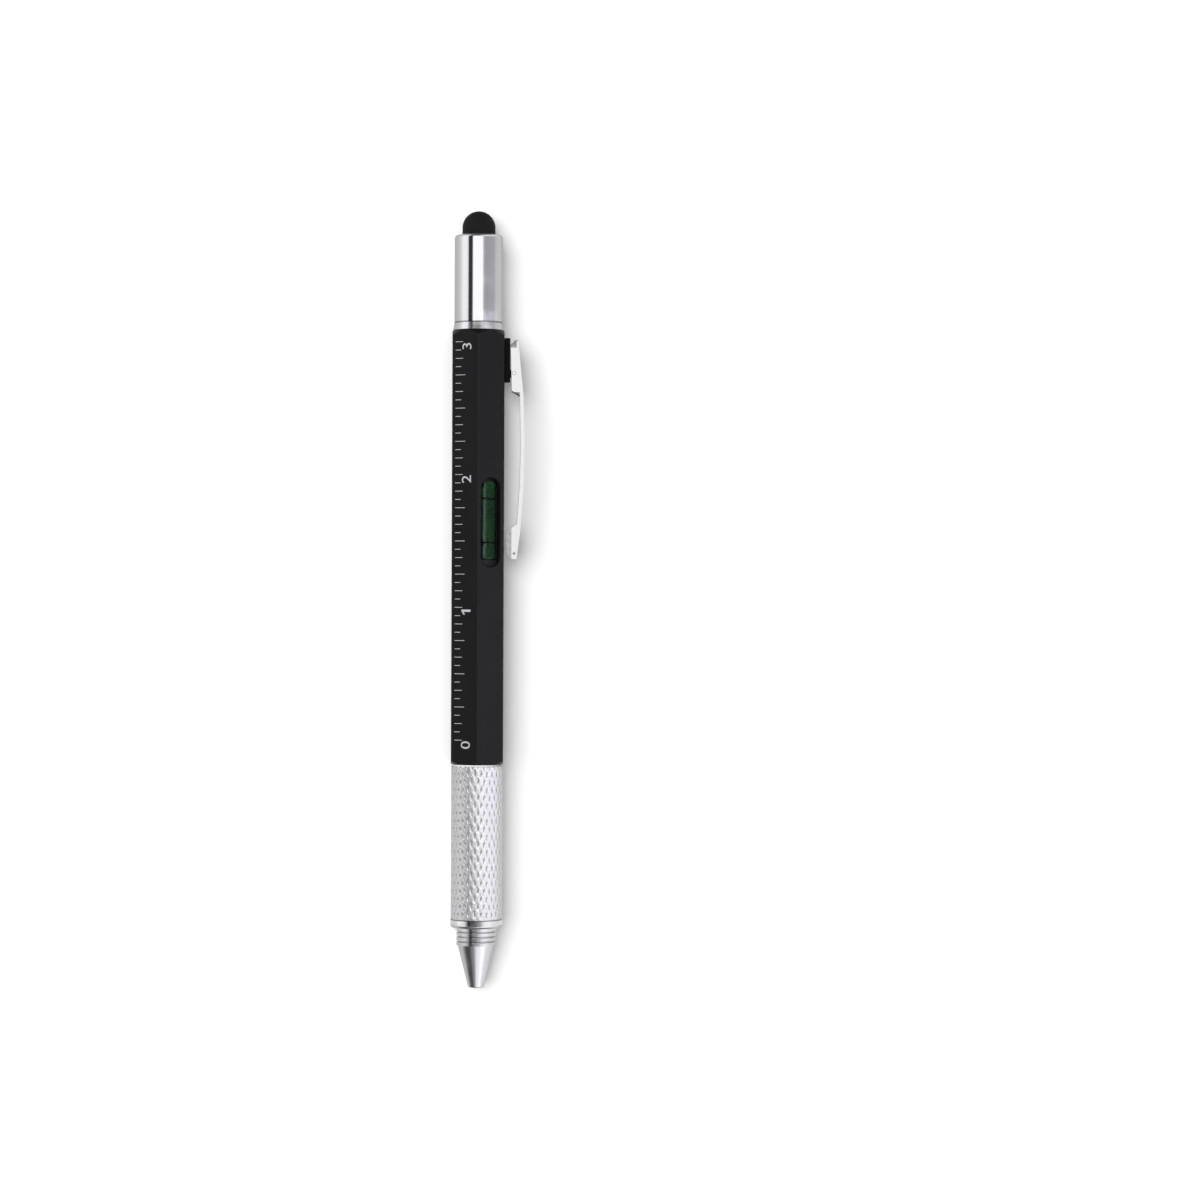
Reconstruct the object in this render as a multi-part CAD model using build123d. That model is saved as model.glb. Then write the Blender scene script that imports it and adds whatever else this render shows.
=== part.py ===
from build123d import *
from math import asin, cos, degrees, radians, sin
import os

# Multi tool pen: a twist ball pen in a hexagonal barrel with a spirit level, a pocket
# clip, a double-ended screwdriver bit under the cap and a touch-screen stylus.
# Millimetres. The pen lies along X with its nib towards +X and the level facing up,
# resting on the opposite flat. The origin is the centre of that flat.

# Barrel
ACROSS_FLATS = 10.0
BARREL_LENGTH = 83.4
BARREL_CORNER_RADIUS = 0.6
BARREL_BORE = 8.4
BARREL_END_DIAMETER = 9.7
CAP_END_TAPER = 1.2
NIB_END_TAPER = 0.7

# Clearances
SEAT_GAP = 0.02
RUNNING_GAP = 0.05
SLIDING_GAP = 0.1
SEAM_GAP = 0.05
CUT_OVERRUN = 1.0

# Spirit level and its window
VIAL_DIAMETER = 4.0
VIAL_WALL = 0.45
VIAL_LENGTH = 15.0
VIAL_ROUND = 0.4
VIAL_SINK = 0.15
VIAL_BASE = 0.8
VIAL_PLUG_LENGTH = 1.2
VIAL_SIDE_GAP = 0.1
VIAL_CAP_SIDE_GAP = 0.65
VIAL_NIB_SIDE_GAP = 1.35
WINDOW_TO_CAP_END = 37.0
WINDOW_CHAMFER = 0.15
LINE_SPACING = 8.4
LINE_WIDTH = 0.35
LINE_THICKNESS = 0.05
BUBBLE_LENGTH = 4.4
BUBBLE_WIDTH_SHARE = 0.66
BUBBLE_HEIGHT_SHARE = 0.44
BUBBLE_GAP = 0.15
CRADLE_END = 2.5
CRADLE_RIM = 0.4
CRADLE_TO_SPIGOT = 3.9

# Twist mechanism
CAM_SETBACK = 1.5
CAM_WALL = 0.7
CAM_TURN = 180
REFILL_TRAVEL = 4.0
PIN_DIAMETER = 1.0
PIN_TO_CAM_END = 3.0
PIN_TO_REFILL = 1.3
PLUNGER_LENGTH = 9.0
PLUNGER_TAIL = 1.3
SPIGOT_WALL = 0.85
SPIGOT_TAIL = 1.9
TWIST_RING_SECTION = 0.7
RETAINER_GAP = 0.2
RETAINER_THICKNESS = 0.6
RETAINER_GROOVE_DEPTH = 0.3
RETAINER_OPENING = 2.6

# Grip and nib
GRIP_INSET = 0.05
GRIP_LENGTH = 29.8
GRIP_WALL = 0.95
GRIP_EDGE = 0.2
WASHER_THICKNESS = 0.25
WASHER_INSET = 0.3
END_RING_LENGTH = 1.6
END_RING_ROUND = 0.6
COLLAR_DIAMETER = 7.6
COLLAR_LAND = 0.58
COLLAR_GROOVE = 0.34
COLLAR_GROOVES = 3
COLLAR_GROOVE_DEPTH = 0.35
CONE_LENGTH = 8.18
CONE_STEP = 0.25
CONE_TIP_WALL = 0.28
CONE_TIP_ROUND = 0.2
NIB_THREAD_DIAMETER = 6.0
NIB_THREAD_LENGTH = 9.1
NIB_BORE = 3.6
NIB_EXIT_LENGTH = 3.0

# Refill
REFILL_DIAMETER = 2.35
REFILL_WALL = 0.2
REFILL_SETBACK = 1.2
POINT_LENGTH = 7.0
POINT_CONE = 3.0
POINT_NECK = 0.9
POINT_NECK_DIAMETER = 1.1
POINT_LIP = 0.07
POINT_SPIGOT = 3.0
BALL_DIAMETER = 0.7
BALL_SHOWING = 0.25
INK_GAP = 0.2
INK_SHARE = 0.728

# Bit holder
FLANGE_LENGTH = 1.4
FLANGE_DIAMETER = 9.8
CAP_SPIGOT_LENGTH = 5.5
CAP_RING_SECTION = 0.9
CAP_RING_TO_FLANGE = 3.0
INSERT_FLOOR = 1.4
MAGNET_THICKNESS = 1.5
BIT_ACROSS_FLATS = 4.0
BIT_LENGTH = 28.0
BIT_TO_PLUG = 1.0
BIT_NECK_DIAMETER = 3.0
BIT_NECK_LENGTH = 3.0
BIT_SHOULDER = 0.6
BIT_TIP_LENGTH = 3.2
BIT_BLADE_THICKNESS = 0.55
BIT_CROSS_TIP_DIAMETER = 0.9
BIT_CROSS_WEB = 0.5

# Cap and stylus
CAP_DIAMETER = 9.3
CAP_WALL = 0.65
CAP_LENGTH = 16.85
CAP_END_WALL = 1.0
CAP_ROUND = 0.6
CAP_MOUTH_CHAMFER = 0.2
STYLUS_DIAMETER = 6.35
STYLUS_LENGTH = 4.65
STYLUS_WALL = 0.8
PLUG_HEAD_GAP = 0.75
PLUG_HEAD_THICKNESS = 0.8
PLUG_STEM_DIAMETER = 3.0
PLUG_BARB_HOOK = 0.5
PLUG_BARB_THICKNESS = 0.6

# Clip and its bracket; heights are above the barrel's flat
CLIP_TO_CAP_END = 2.0
CLIP_LENGTH = 42.0
CLIP_WIDTH = 4.2
CLIP_THICKNESS = 0.75
HOOD_LENGTH = 10.6
HOOD_END_HEIGHT = 2.65
HOOD_STEP_HEIGHT = 3.7
BOW_HEIGHT = 3.92
SHOULDER_HEIGHT = 3.75
SHOULDER_TO_TIP = 14.6
TAIL_HEIGHT = 3.1
TAIL_TO_TIP = 5.0
TIP_HEIGHT = 2.45
CHEEK_END_HEIGHT = 1.15
CHEEK_STEP_HEIGHT = 1.4
CHEEK_LENGTH = 9.8
CHEEK_SLANT = 0.9
LOBE_LENGTH = 6.9
LOBE_SLANT = 1.5
LOBE_HEIGHT = 0.35
LOBE_EDGE = 0.25
LOBE_NOSE = 1.9
LOBE_NOSE_HEIGHT = 1.6
LOBE_EYE_DIAMETER = 0.5
LOBE_EYE_HEIGHT = 1.95
LOBE_EYE_TO_TIP = 1.1
PIVOT_TO_TOP = 6.3
PIVOT_HEIGHT = 1.85
CLIP_PIN_DIAMETER = 0.7
LUG_TO_CAP_END = 1.5
LUG_LENGTH = 8.5
LUG_HEIGHT = 1.1
LUG_ROUND = 0.3
EAR_LENGTH = 1.5
EAR_GAP = 0.12
NECK_SHOULDER = 0.55
NECK_WIDTH = 2.0
PLATE_OVERHANG = 1.0
PLATE_THICKNESS = 0.8
LEAF_THICKNESS = 0.2
LEAF_WIDTH = 1.9
LEAF_RISE = 0.3
LEAF_END_GAP = 0.5

# Sizes that follow from the ones above
half_flat = ACROSS_FLATS / 2
corner_radius = half_flat / cos(radians(30))
window_length = VIAL_LENGTH + VIAL_CAP_SIDE_GAP + VIAL_NIB_SIDE_GAP
window_width = VIAL_DIAMETER + 2 * VIAL_SIDE_GAP
cradle_length = window_length + 2 * CRADLE_END
vial_bore = VIAL_DIAMETER - 2 * VIAL_WALL
vial_height = half_flat - VIAL_SINK - VIAL_DIAMETER / 2
bubble_width = vial_bore * BUBBLE_WIDTH_SHARE
bubble_height = vial_bore * BUBBLE_HEIGHT_SHARE
cam_bore = BARREL_BORE - 2 * CAM_WALL
spigot_diameter = cam_bore - 2 * RUNNING_GAP
spigot_bore = spigot_diameter - 2 * SPIGOT_WALL
grip_diameter = ACROSS_FLATS - 2 * GRIP_INSET
grip_core_diameter = grip_diameter - 2 * GRIP_WALL
collar_length = (COLLAR_GROOVES + 1) * COLLAR_LAND + COLLAR_GROOVES * COLLAR_GROOVE
exit_bore = REFILL_DIAMETER + 2 * RUNNING_GAP
cap_bore = CAP_DIAMETER - 2 * CAP_WALL
cap_spigot_diameter = cap_bore - 2 * SLIDING_GAP
socket_size = BIT_ACROSS_FLATS + 2 * RUNNING_GAP
lug_width = CLIP_WIDTH - 2 * CLIP_THICKNESS - 2 * SLIDING_GAP
hood_slope = (HOOD_STEP_HEIGHT - HOOD_END_HEIGHT) / HOOD_LENGTH

# Places along the pen, from the barrel's middle: low is towards the cap
nib_end = BARREL_LENGTH / 2
cap_end = -BARREL_LENGTH / 2
grip_low = nib_end + SEAM_GAP
sleeve_low = grip_low + WASHER_THICKNESS
sleeve_high = nib_end + GRIP_LENGTH
ring_high = sleeve_high + END_RING_LENGTH
collar_high = ring_high + collar_length
nib_tip = collar_high + CONE_LENGTH
window_place = cap_end + WINDOW_TO_CAP_END
cradle_high = window_place + cradle_length / 2
spigot_low = cradle_high + CRADLE_TO_SPIGOT
cam_low = spigot_low + SPIGOT_TAIL
cam_high = nib_end - CAM_SETBACK
retainer_high = cam_low - RETAINER_GAP
pin_place = cam_low + PIN_TO_CAM_END
plunger_low = pin_place - PLUNGER_TAIL
plunger_high = plunger_low + PLUNGER_LENGTH
refill_tip = nib_tip - REFILL_SETBACK
refill_tail = pin_place + PIN_TO_REFILL
tube_high = refill_tip - POINT_LENGTH
ink_high = tube_high - POINT_SPIGOT - INK_GAP
ink_low = ink_high - INK_SHARE * (tube_high - refill_tail)
vial_low = window_place - window_length / 2 + VIAL_CAP_SIDE_GAP
vial_high = vial_low + VIAL_LENGTH
vial_place = (vial_low + vial_high) / 2
bubble_place = vial_high - VIAL_BASE - BUBBLE_GAP - BUBBLE_LENGTH / 2
flange_low = cap_end - FLANGE_LENGTH
cap_spigot_low = flange_low - CAP_SPIGOT_LENGTH
cap_high = flange_low - SEAM_GAP
cap_low = flange_low - CAP_LENGTH
stylus_low = cap_low - STYLUS_LENGTH
plug_head_low = cap_low + CAP_END_WALL + SEAT_GAP
bit_low = plug_head_low + PLUG_HEAD_THICKNESS + BIT_TO_PLUG
bit_high = bit_low + BIT_LENGTH
magnet_high = bit_high + MAGNET_THICKNESS
insert_high = magnet_high + INSERT_FLOOR
clip_top = cap_end + CLIP_TO_CAP_END
pivot_place = clip_top + PIVOT_TO_TOP
lug_low = cap_end + LUG_TO_CAP_END
lug_high = lug_low + LUG_LENGTH

# The clip's flat is one flat round from the window's. In this plane the first direction
# runs along the pen and the second stands out of that flat.
CLIP_FLAT_ANGLE = 30
clip_side = Plane(
    origin=(0, 0, 0),
    x_dir=(1, 0, 0),
    z_dir=(0, -sin(radians(CLIP_FLAT_ANGLE)), cos(radians(CLIP_FLAT_ANGLE))),
)
FROM_START = (Align.CENTER, Align.CENTER, Align.MIN)


def rod(low, high, diameter):
    """A round bar along the pen's axis."""
    return Plane.YZ.offset(low) * Cylinder(diameter / 2, high - low, align=FROM_START)


def tube(low, high, outer, inner):
    """A round tube along the pen's axis."""
    return rod(low, high, outer) - rod(low - CUT_OVERRUN, high + CUT_OVERRUN, inner)


def turned(*outline):
    """A solid turned about the pen's axis from points of (place, radius)."""
    return revolve(make_face(Polyline(*outline, close=True)), Axis.X)


def hexagon_bar(low, high, across_flats, rounding=0):
    """A hexagonal bar along the pen's axis with a flat facing up."""
    section = RegularPolygon(across_flats / 2, 6, major_radius=False)
    if rounding > 0:
        section = fillet(section.vertices(), rounding)
    return extrude(Plane.YZ.offset(low) * section, high - low)


def side_plate(outline, width):
    """A plate standing on the clip's flat, from lines through (place, distance from the axis)."""
    return extrude(clip_side * make_face(outline), width / 2, both=True)


def side_box(low, high, bottom, top, width):
    """A block standing on the clip's flat."""
    corners = [(low, bottom), (high, bottom), (high, top), (low, top)]
    return side_plate(Polyline(*corners, close=True), width)


def make_barrel():
    bar = hexagon_bar(cap_end, nib_end, ACROSS_FLATS, BARREL_CORNER_RADIUS)
    bar = bar & turned(
        (cap_end, 0),
        (cap_end, BARREL_END_DIAMETER / 2),
        (cap_end + CAP_END_TAPER, corner_radius),
        (nib_end - NIB_END_TAPER, corner_radius),
        (nib_end, BARREL_END_DIAMETER / 2),
        (nib_end, 0),
    )
    bar -= rod(cap_end - CUT_OVERRUN, nib_end + CUT_OVERRUN, BARREL_BORE)
    window = SlotOverall(window_length, window_width)
    bar -= extrude(Pos(window_place, 0, 0) * window, half_flat + CUT_OVERRUN)
    rim = [
        edge
        for edge in bar.edges()
        if abs(edge.center().Z - half_flat) < SEAT_GAP
        and abs(edge.center().X - window_place) < window_length
        and abs(edge.center().Y) <= window_width / 2 + SEAT_GAP
    ]
    bar = chamfer(rim, WINDOW_CHAMFER)
    bar -= side_box(
        lug_low + NECK_SHOULDER - RUNNING_GAP,
        lug_high - NECK_SHOULDER + RUNNING_GAP,
        0,
        half_flat + CUT_OVERRUN,
        NECK_WIDTH + 2 * RUNNING_GAP,
    )
    return bar


def make_cam_sleeve():
    """Sleeve pressed into the barrel; the cross pin runs in its two helical slots."""
    sleeve = tube(cam_low, cam_high, BARREL_BORE - 2 * SEAT_GAP, cam_bore)
    lead = REFILL_TRAVEL * 360 / CAM_TURN
    slot_width = PIN_DIAMETER + 2 * RUNNING_GAP
    run_out = degrees(asin(slot_width / cam_bore))
    path = Helix(
        pitch=lead,
        height=lead * (CAM_TURN + 2 * run_out) / 360,
        radius=(cam_bore + CAM_WALL) / 2,
    )
    start = Plane(origin=path @ 0, x_dir=(1, 0, 0), z_dir=path % 0)
    cutter = sweep(start * Rectangle(2 * CAM_WALL, slot_width), path, is_frenet=True)
    first = pin_place - lead * run_out / 360
    for side in (0, 180):
        sleeve -= Plane.YZ.offset(first) * (Rot(0, 0, side - run_out) * cutter)
    return sleeve


def make_vial_cradle():
    """Half-round seat that carries the vial inside the barrel."""
    seat = rod(cradle_high - cradle_length, cradle_high, BARREL_BORE - 2 * SEAT_GAP)
    channel = VIAL_DIAMETER + 2 * LINE_THICKNESS + 2 * SEAT_GAP
    low = vial_low - SEAT_GAP
    high = vial_high + SEAT_GAP
    seat -= Pos(0, 0, vial_height) * rod(low, high, channel)
    opening = Box(high - low, channel, half_flat, align=FROM_START)
    seat -= Pos(vial_place, 0, vial_height) * opening
    above = Box(cradle_length + 2 * CUT_OVERRUN, BARREL_BORE, half_flat, align=FROM_START)
    return seat - Pos(window_place, 0, vial_height + CRADLE_RIM) * above


def make_vial_tube():
    """Clear tube with rounded ends, closed at the end towards the nib."""
    vial = rod(vial_low, vial_high, VIAL_DIAMETER)
    vial = fillet(vial.edges().filter_by(GeomType.CIRCLE), VIAL_ROUND)
    vial -= rod(vial_low - CUT_OVERRUN, vial_high - VIAL_BASE, vial_bore)
    return Pos(0, 0, vial_height) * vial


def make_vial_end_plug():
    plug = rod(vial_low, vial_low + VIAL_PLUG_LENGTH, vial_bore - 2 * SEAT_GAP)
    return Pos(0, 0, vial_height) * plug


def make_vial_bubble():
    """Flattened air bubble that floats against the top of the vial's bore."""
    room = vial_bore / 2 - RUNNING_GAP
    bubble = scale(Sphere(1), (BUBBLE_LENGTH / 2, bubble_width / 2, bubble_height / 2))
    return Pos(bubble_place, 0, vial_height + room - bubble_height / 2) * bubble


def make_vial_liquid():
    low = vial_low + VIAL_PLUG_LENGTH + SEAT_GAP
    high = vial_high - VIAL_BASE - SEAT_GAP
    liquid = Pos(0, 0, vial_height) * rod(low, high, vial_bore - 2 * SEAT_GAP)
    return liquid - make_vial_bubble()


def make_vial_line_rings():
    """The two dark lines between which the bubble is centred."""
    outer = VIAL_DIAMETER + 2 * LINE_THICKNESS
    half_pair = (LINE_SPACING + LINE_WIDTH) / 2
    band = tube(vial_place - half_pair, vial_place + half_pair, outer, VIAL_DIAMETER)
    half_gap = (LINE_SPACING - LINE_WIDTH) / 2
    band -= rod(vial_place - half_gap, vial_place + half_gap, outer + CUT_OVERRUN)
    return Pos(0, 0, vial_height) * band


def make_top_insert():
    """Bit holder: a spigot in the barrel, a flared flange and a spigot for the cap."""
    insert = turned(
        (insert_high, 0),
        (insert_high, BARREL_BORE / 2 - SEAT_GAP),
        (cap_end, BARREL_BORE / 2 - SEAT_GAP),
        (cap_end, FLANGE_DIAMETER / 2),
        (flange_low, CAP_DIAMETER / 2),
        (flange_low, cap_spigot_diameter / 2),
        (cap_spigot_low, cap_spigot_diameter / 2),
        (cap_spigot_low, 0),
    )
    ring_place = flange_low - CAP_RING_TO_FLANGE
    ring_floor = cap_bore - 2 * RUNNING_GAP - 2 * CAP_RING_SECTION
    insert -= tube(
        ring_place - CAP_RING_SECTION / 2 - SEAT_GAP,
        ring_place + CAP_RING_SECTION / 2 + SEAT_GAP,
        cap_bore + CUT_OVERRUN,
        ring_floor,
    )
    insert -= hexagon_bar(cap_spigot_low - CUT_OVERRUN, magnet_high, socket_size)
    groove_floor = BARREL_BORE / 2 - SEAT_GAP - PLATE_THICKNESS - RUNNING_GAP
    insert -= side_box(
        lug_low + NECK_SHOULDER - PLATE_OVERHANG - RUNNING_GAP,
        insert_high + CUT_OVERRUN,
        groove_floor,
        half_flat,
        BARREL_BORE,
    )
    return insert


def make_cap_o_ring():
    major = cap_bore / 2 - RUNNING_GAP - CAP_RING_SECTION / 2
    ring = Torus(major, CAP_RING_SECTION / 2)
    return Plane.YZ.offset(flange_low - CAP_RING_TO_FLANGE) * ring


def make_bit_magnet():
    return rod(bit_high, magnet_high - SEAT_GAP, BIT_ACROSS_FLATS)


def make_clip_bracket():
    """Plate inside the barrel, neck through its wall, and the lug and ear for the hinge pin."""
    neck_low = lug_low + NECK_SHOULDER
    neck_high = lug_high - NECK_SHOULDER
    plate_low = neck_low - PLATE_OVERHANG
    plate_high = neck_high + PLATE_OVERHANG
    inside = BARREL_BORE / 2 - SEAT_GAP
    shell = rod(plate_low, plate_high, 2 * inside)
    bracket = shell & side_box(plate_low, plate_high, inside - PLATE_THICKNESS, half_flat, BARREL_BORE)
    lug_top = half_flat + LUG_HEIGHT
    lug_inside = half_flat + LUG_HEIGHT / 2
    bracket += side_box(neck_low, neck_high, inside - PLATE_THICKNESS, lug_inside, NECK_WIDTH)
    lug = side_box(lug_low, lug_high, half_flat, lug_top, lug_width)
    upright = lug.edges().filter_by(Axis(clip_side.origin, clip_side.y_dir))
    bracket += fillet(upright, LUG_ROUND)
    ear_low = pivot_place - EAR_LENGTH / 2
    ear_top = hood_ceiling(ear_low) - EAR_GAP
    bracket += side_box(ear_low, ear_low + EAR_LENGTH, lug_inside, ear_top, lug_width)
    return bracket - hinge_hole(CLIP_PIN_DIAMETER)


def hood_ceiling(place):
    """Distance of the hood's inner face from the pen's axis."""
    return half_flat + HOOD_END_HEIGHT + hood_slope * (place - clip_top) - CLIP_THICKNESS


def hinge_hole(diameter):
    """A round bar across the clip at its hinge."""
    hole = Cylinder(diameter / 2, CLIP_WIDTH + CUT_OVERRUN)
    return clip_side * Pos(pivot_place, half_flat + PIVOT_HEIGHT, 0) * hole


def make_clip_pin():
    pin = Cylinder(CLIP_PIN_DIAMETER / 2, CLIP_WIDTH)
    return clip_side * Pos(pivot_place, half_flat + PIVOT_HEIGHT, 0) * pin


def make_clip_spring():
    """Bent leaf between the lug and the hood's free end."""
    base = half_flat + LUG_HEIGHT
    foot = pivot_place - EAR_LENGTH / 2
    free = clip_top + LEAF_END_GAP
    top = hood_ceiling(free) - SLIDING_GAP
    middle = (foot + free) / 2
    lower = [(foot, base), (middle, base + LEAF_RISE), (free, top - LEAF_THICKNESS)]
    upper = [(free, top), (middle, base + LEAF_RISE + LEAF_THICKNESS), (foot, base + LEAF_THICKNESS)]
    return side_plate(Polyline(*lower, *upper, close=True), LEAF_WIDTH)


def clip_point(from_top, height):
    """A point beside the clip: distance from its top end, height above the flat."""
    return (clip_top + from_top, half_flat + height)


def blade_line(drop):
    """The clip's outer line from its top end to its tip, lowered by drop."""
    top = clip_point(0, HOOD_END_HEIGHT - drop)
    step = clip_point(HOOD_LENGTH, HOOD_STEP_HEIGHT - drop)
    shoulder_place = CLIP_LENGTH - SHOULDER_TO_TIP
    bow = clip_point((HOOD_LENGTH + shoulder_place) / 2, BOW_HEIGHT - drop)
    shoulder = clip_point(shoulder_place, SHOULDER_HEIGHT - drop)
    tail = clip_point(CLIP_LENGTH - TAIL_TO_TIP, TAIL_HEIGHT - drop)
    tip = clip_point(CLIP_LENGTH, TIP_HEIGHT - drop)
    return [Line(top, step), ThreePointArc(step, bow, shoulder), Line(shoulder, tail), Line(tail, tip)]


def lobe_outline():
    """The inward lobe at the clip's tip that touches the pocket's cloth."""
    tip_top = clip_point(CLIP_LENGTH, TIP_HEIGHT - CLIP_THICKNESS / 2)
    tip_low = clip_point(CLIP_LENGTH, LOBE_NOSE_HEIGHT)
    nose = clip_point(CLIP_LENGTH - LOBE_NOSE, LOBE_HEIGHT + LOBE_EDGE / 2)
    curve_share = sin(radians(45))
    nose_bend = clip_point(
        CLIP_LENGTH - LOBE_NOSE * (1 - curve_share),
        LOBE_NOSE_HEIGHT - (LOBE_NOSE_HEIGHT - LOBE_HEIGHT) * curve_share,
    )
    heel_place = CLIP_LENGTH - LOBE_LENGTH + LOBE_SLANT
    heel = clip_point(heel_place, LOBE_HEIGHT + LOBE_EDGE)
    belly = clip_point((heel_place + CLIP_LENGTH - LOBE_NOSE) / 2, LOBE_HEIGHT)
    root = clip_point(CLIP_LENGTH - LOBE_LENGTH, TAIL_HEIGHT - CLIP_THICKNESS / 2)
    return [
        Line(tip_top, tip_low),
        ThreePointArc(tip_low, nose_bend, nose),
        ThreePointArc(nose, belly, heel),
        Line(heel, root),
        Line(root, tip_top),
    ]


def make_clip():
    """Hood with two cheeks, bowed blade and inward lobe."""
    outer = blade_line(0)
    inner = blade_line(CLIP_THICKNESS)
    ends = [Line(outer[0] @ 0, inner[0] @ 0), Line(outer[-1] @ 1, inner[-1] @ 1)]
    clip = side_plate(outer + inner + ends, CLIP_WIDTH)
    clip += side_plate(lobe_outline(), CLIP_WIDTH)
    half_sheet = CLIP_THICKNESS / 2
    cheeks = [
        clip_point(CHEEK_SLANT, CHEEK_END_HEIGHT),
        clip_point(CHEEK_LENGTH, CHEEK_STEP_HEIGHT),
        clip_point(HOOD_LENGTH, HOOD_STEP_HEIGHT - half_sheet),
        clip_point(0, HOOD_END_HEIGHT - half_sheet),
    ]
    hood = side_plate(Polyline(*cheeks, close=True), CLIP_WIDTH)
    inside = [
        clip_point(-CUT_OVERRUN, 0),
        clip_point(HOOD_LENGTH + CUT_OVERRUN, 0),
        clip_point(HOOD_LENGTH + CUT_OVERRUN, HOOD_STEP_HEIGHT),
        clip_point(-CUT_OVERRUN, HOOD_STEP_HEIGHT),
    ]
    hood -= side_plate(Polyline(*inside, close=True), CLIP_WIDTH - 2 * CLIP_THICKNESS)
    clip += hood
    clip -= hinge_hole(CLIP_PIN_DIAMETER + 2 * RUNNING_GAP)
    eye = Cylinder(LOBE_EYE_DIAMETER / 2, CLIP_WIDTH + CUT_OVERRUN)
    eye_place = clip_point(CLIP_LENGTH - LOBE_EYE_TO_TIP, LOBE_EYE_HEIGHT)
    clip -= clip_side * Pos(*eye_place, 0) * eye
    return clip


def make_cap_sleeve():
    sleeve = rod(cap_low, cap_high, CAP_DIAMETER)
    rim = sleeve.edges().filter_by(GeomType.CIRCLE).sort_by(Axis.X)[0]
    sleeve = fillet(rim, CAP_ROUND)
    sleeve -= rod(cap_low + CAP_END_WALL, cap_high + CUT_OVERRUN, cap_bore)
    stem_hole = PLUG_STEM_DIAMETER + 2 * SEAT_GAP
    sleeve -= rod(cap_low - CUT_OVERRUN, cap_low + CAP_END_WALL + CUT_OVERRUN, stem_hole)
    mouth = sleeve.edges().filter_by(GeomType.CIRCLE).sort_by(Axis.X)[-2:]
    inner = mouth.sort_by(SortBy.RADIUS)[0]
    return chamfer(inner, CAP_MOUTH_CHAMFER)


def make_stylus_plug():
    """Rivet-shaped plug: head in the cap, stem through its end wall, barb in the dome."""
    head = cap_bore / 2 - PLUG_HEAD_GAP
    stem = PLUG_STEM_DIAMETER / 2
    barb_high = cap_low - STYLUS_WALL - SEAT_GAP
    barb_low = barb_high - PLUG_BARB_THICKNESS
    return turned(
        (plug_head_low + PLUG_HEAD_THICKNESS, 0),
        (plug_head_low + PLUG_HEAD_THICKNESS, head),
        (plug_head_low, head),
        (plug_head_low, stem),
        (barb_high, stem),
        (barb_high, stem + PLUG_BARB_HOOK),
        (barb_low, stem),
        (barb_low, 0),
    )


def make_stylus_tip():
    """Hollow rubber dome."""
    outer = STYLUS_DIAMETER / 2
    inner = outer - STYLUS_WALL
    stem = PLUG_STEM_DIAMETER / 2 + SEAT_GAP
    centre = stylus_low + outer
    floor = cap_low - STYLUS_WALL
    curve_share = sin(radians(45))
    outline = [
        Line((cap_low, stem), (cap_low, outer)),
        Line((cap_low, outer), (centre, outer)),
        ThreePointArc(
            (centre, outer),
            (centre - outer * curve_share, outer * curve_share),
            (stylus_low, 0),
        ),
        Line((stylus_low, 0), (stylus_low + STYLUS_WALL, 0)),
        ThreePointArc(
            (stylus_low + STYLUS_WALL, 0),
            (centre - inner * curve_share, inner * curve_share),
            (centre, inner),
        ),
        Line((centre, inner), (floor, inner)),
        Line((floor, inner), (floor, stem)),
        Line((floor, stem), (cap_low, stem)),
    ]
    return revolve(make_face(outline), Axis.X)


def make_screwdriver_bit():
    """Hexagonal bit, slotted at the end towards the cap and cross-headed at the other."""
    neck = BIT_NECK_DIAMETER / 2
    corner = BIT_ACROSS_FLATS / 2 / cos(radians(30))
    shank_low = bit_low + BIT_TIP_LENGTH + BIT_NECK_LENGTH
    shank_high = bit_high - BIT_TIP_LENGTH - BIT_NECK_LENGTH
    bit = hexagon_bar(bit_low, bit_high, BIT_ACROSS_FLATS)
    bit = bit & turned(
        (bit_low, 0),
        (bit_low, neck),
        (shank_low - BIT_SHOULDER, neck),
        (shank_low, corner),
        (shank_high, corner),
        (shank_high + BIT_SHOULDER, neck),
        (bit_high - BIT_TIP_LENGTH, neck),
        (bit_high, BIT_CROSS_TIP_DIAMETER / 2),
        (bit_high, 0),
    )
    half_blade = BIT_BLADE_THICKNESS / 2
    cheek = [
        (bit_low - CUT_OVERRUN, half_blade),
        (bit_low, half_blade),
        (bit_low + BIT_TIP_LENGTH, neck),
        (bit_low + BIT_TIP_LENGTH, corner),
        (bit_low - CUT_OVERRUN, corner),
    ]
    half_turn = Rot(180, 0, 0)
    blade_cut = extrude(Plane.XZ * make_face(Polyline(*cheek, close=True)), corner, both=True)
    bit -= blade_cut
    bit -= half_turn * blade_cut
    slope = degrees(asin((neck - BIT_CROSS_WEB) / BIT_TIP_LENGTH / 2))
    flute = Rot(45, 0, 0) * Box(2 * BIT_TIP_LENGTH, neck, neck)
    reach = neck * cos(radians(45)) + BIT_CROSS_WEB / 2
    for turn in range(4):
        placed = Pos(bit_high, 0, reach) * Rot(0, slope, 0) * flute
        bit -= Rot(45 + 90 * turn, 0, 0) * placed
    return bit


def make_grip_sleeve():
    sleeve = rod(sleeve_low, sleeve_high, grip_diameter)
    sleeve = chamfer(sleeve.edges().filter_by(GeomType.CIRCLE), GRIP_EDGE)
    return sleeve - rod(sleeve_low - CUT_OVERRUN, sleeve_high + CUT_OVERRUN, grip_core_diameter)


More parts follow.
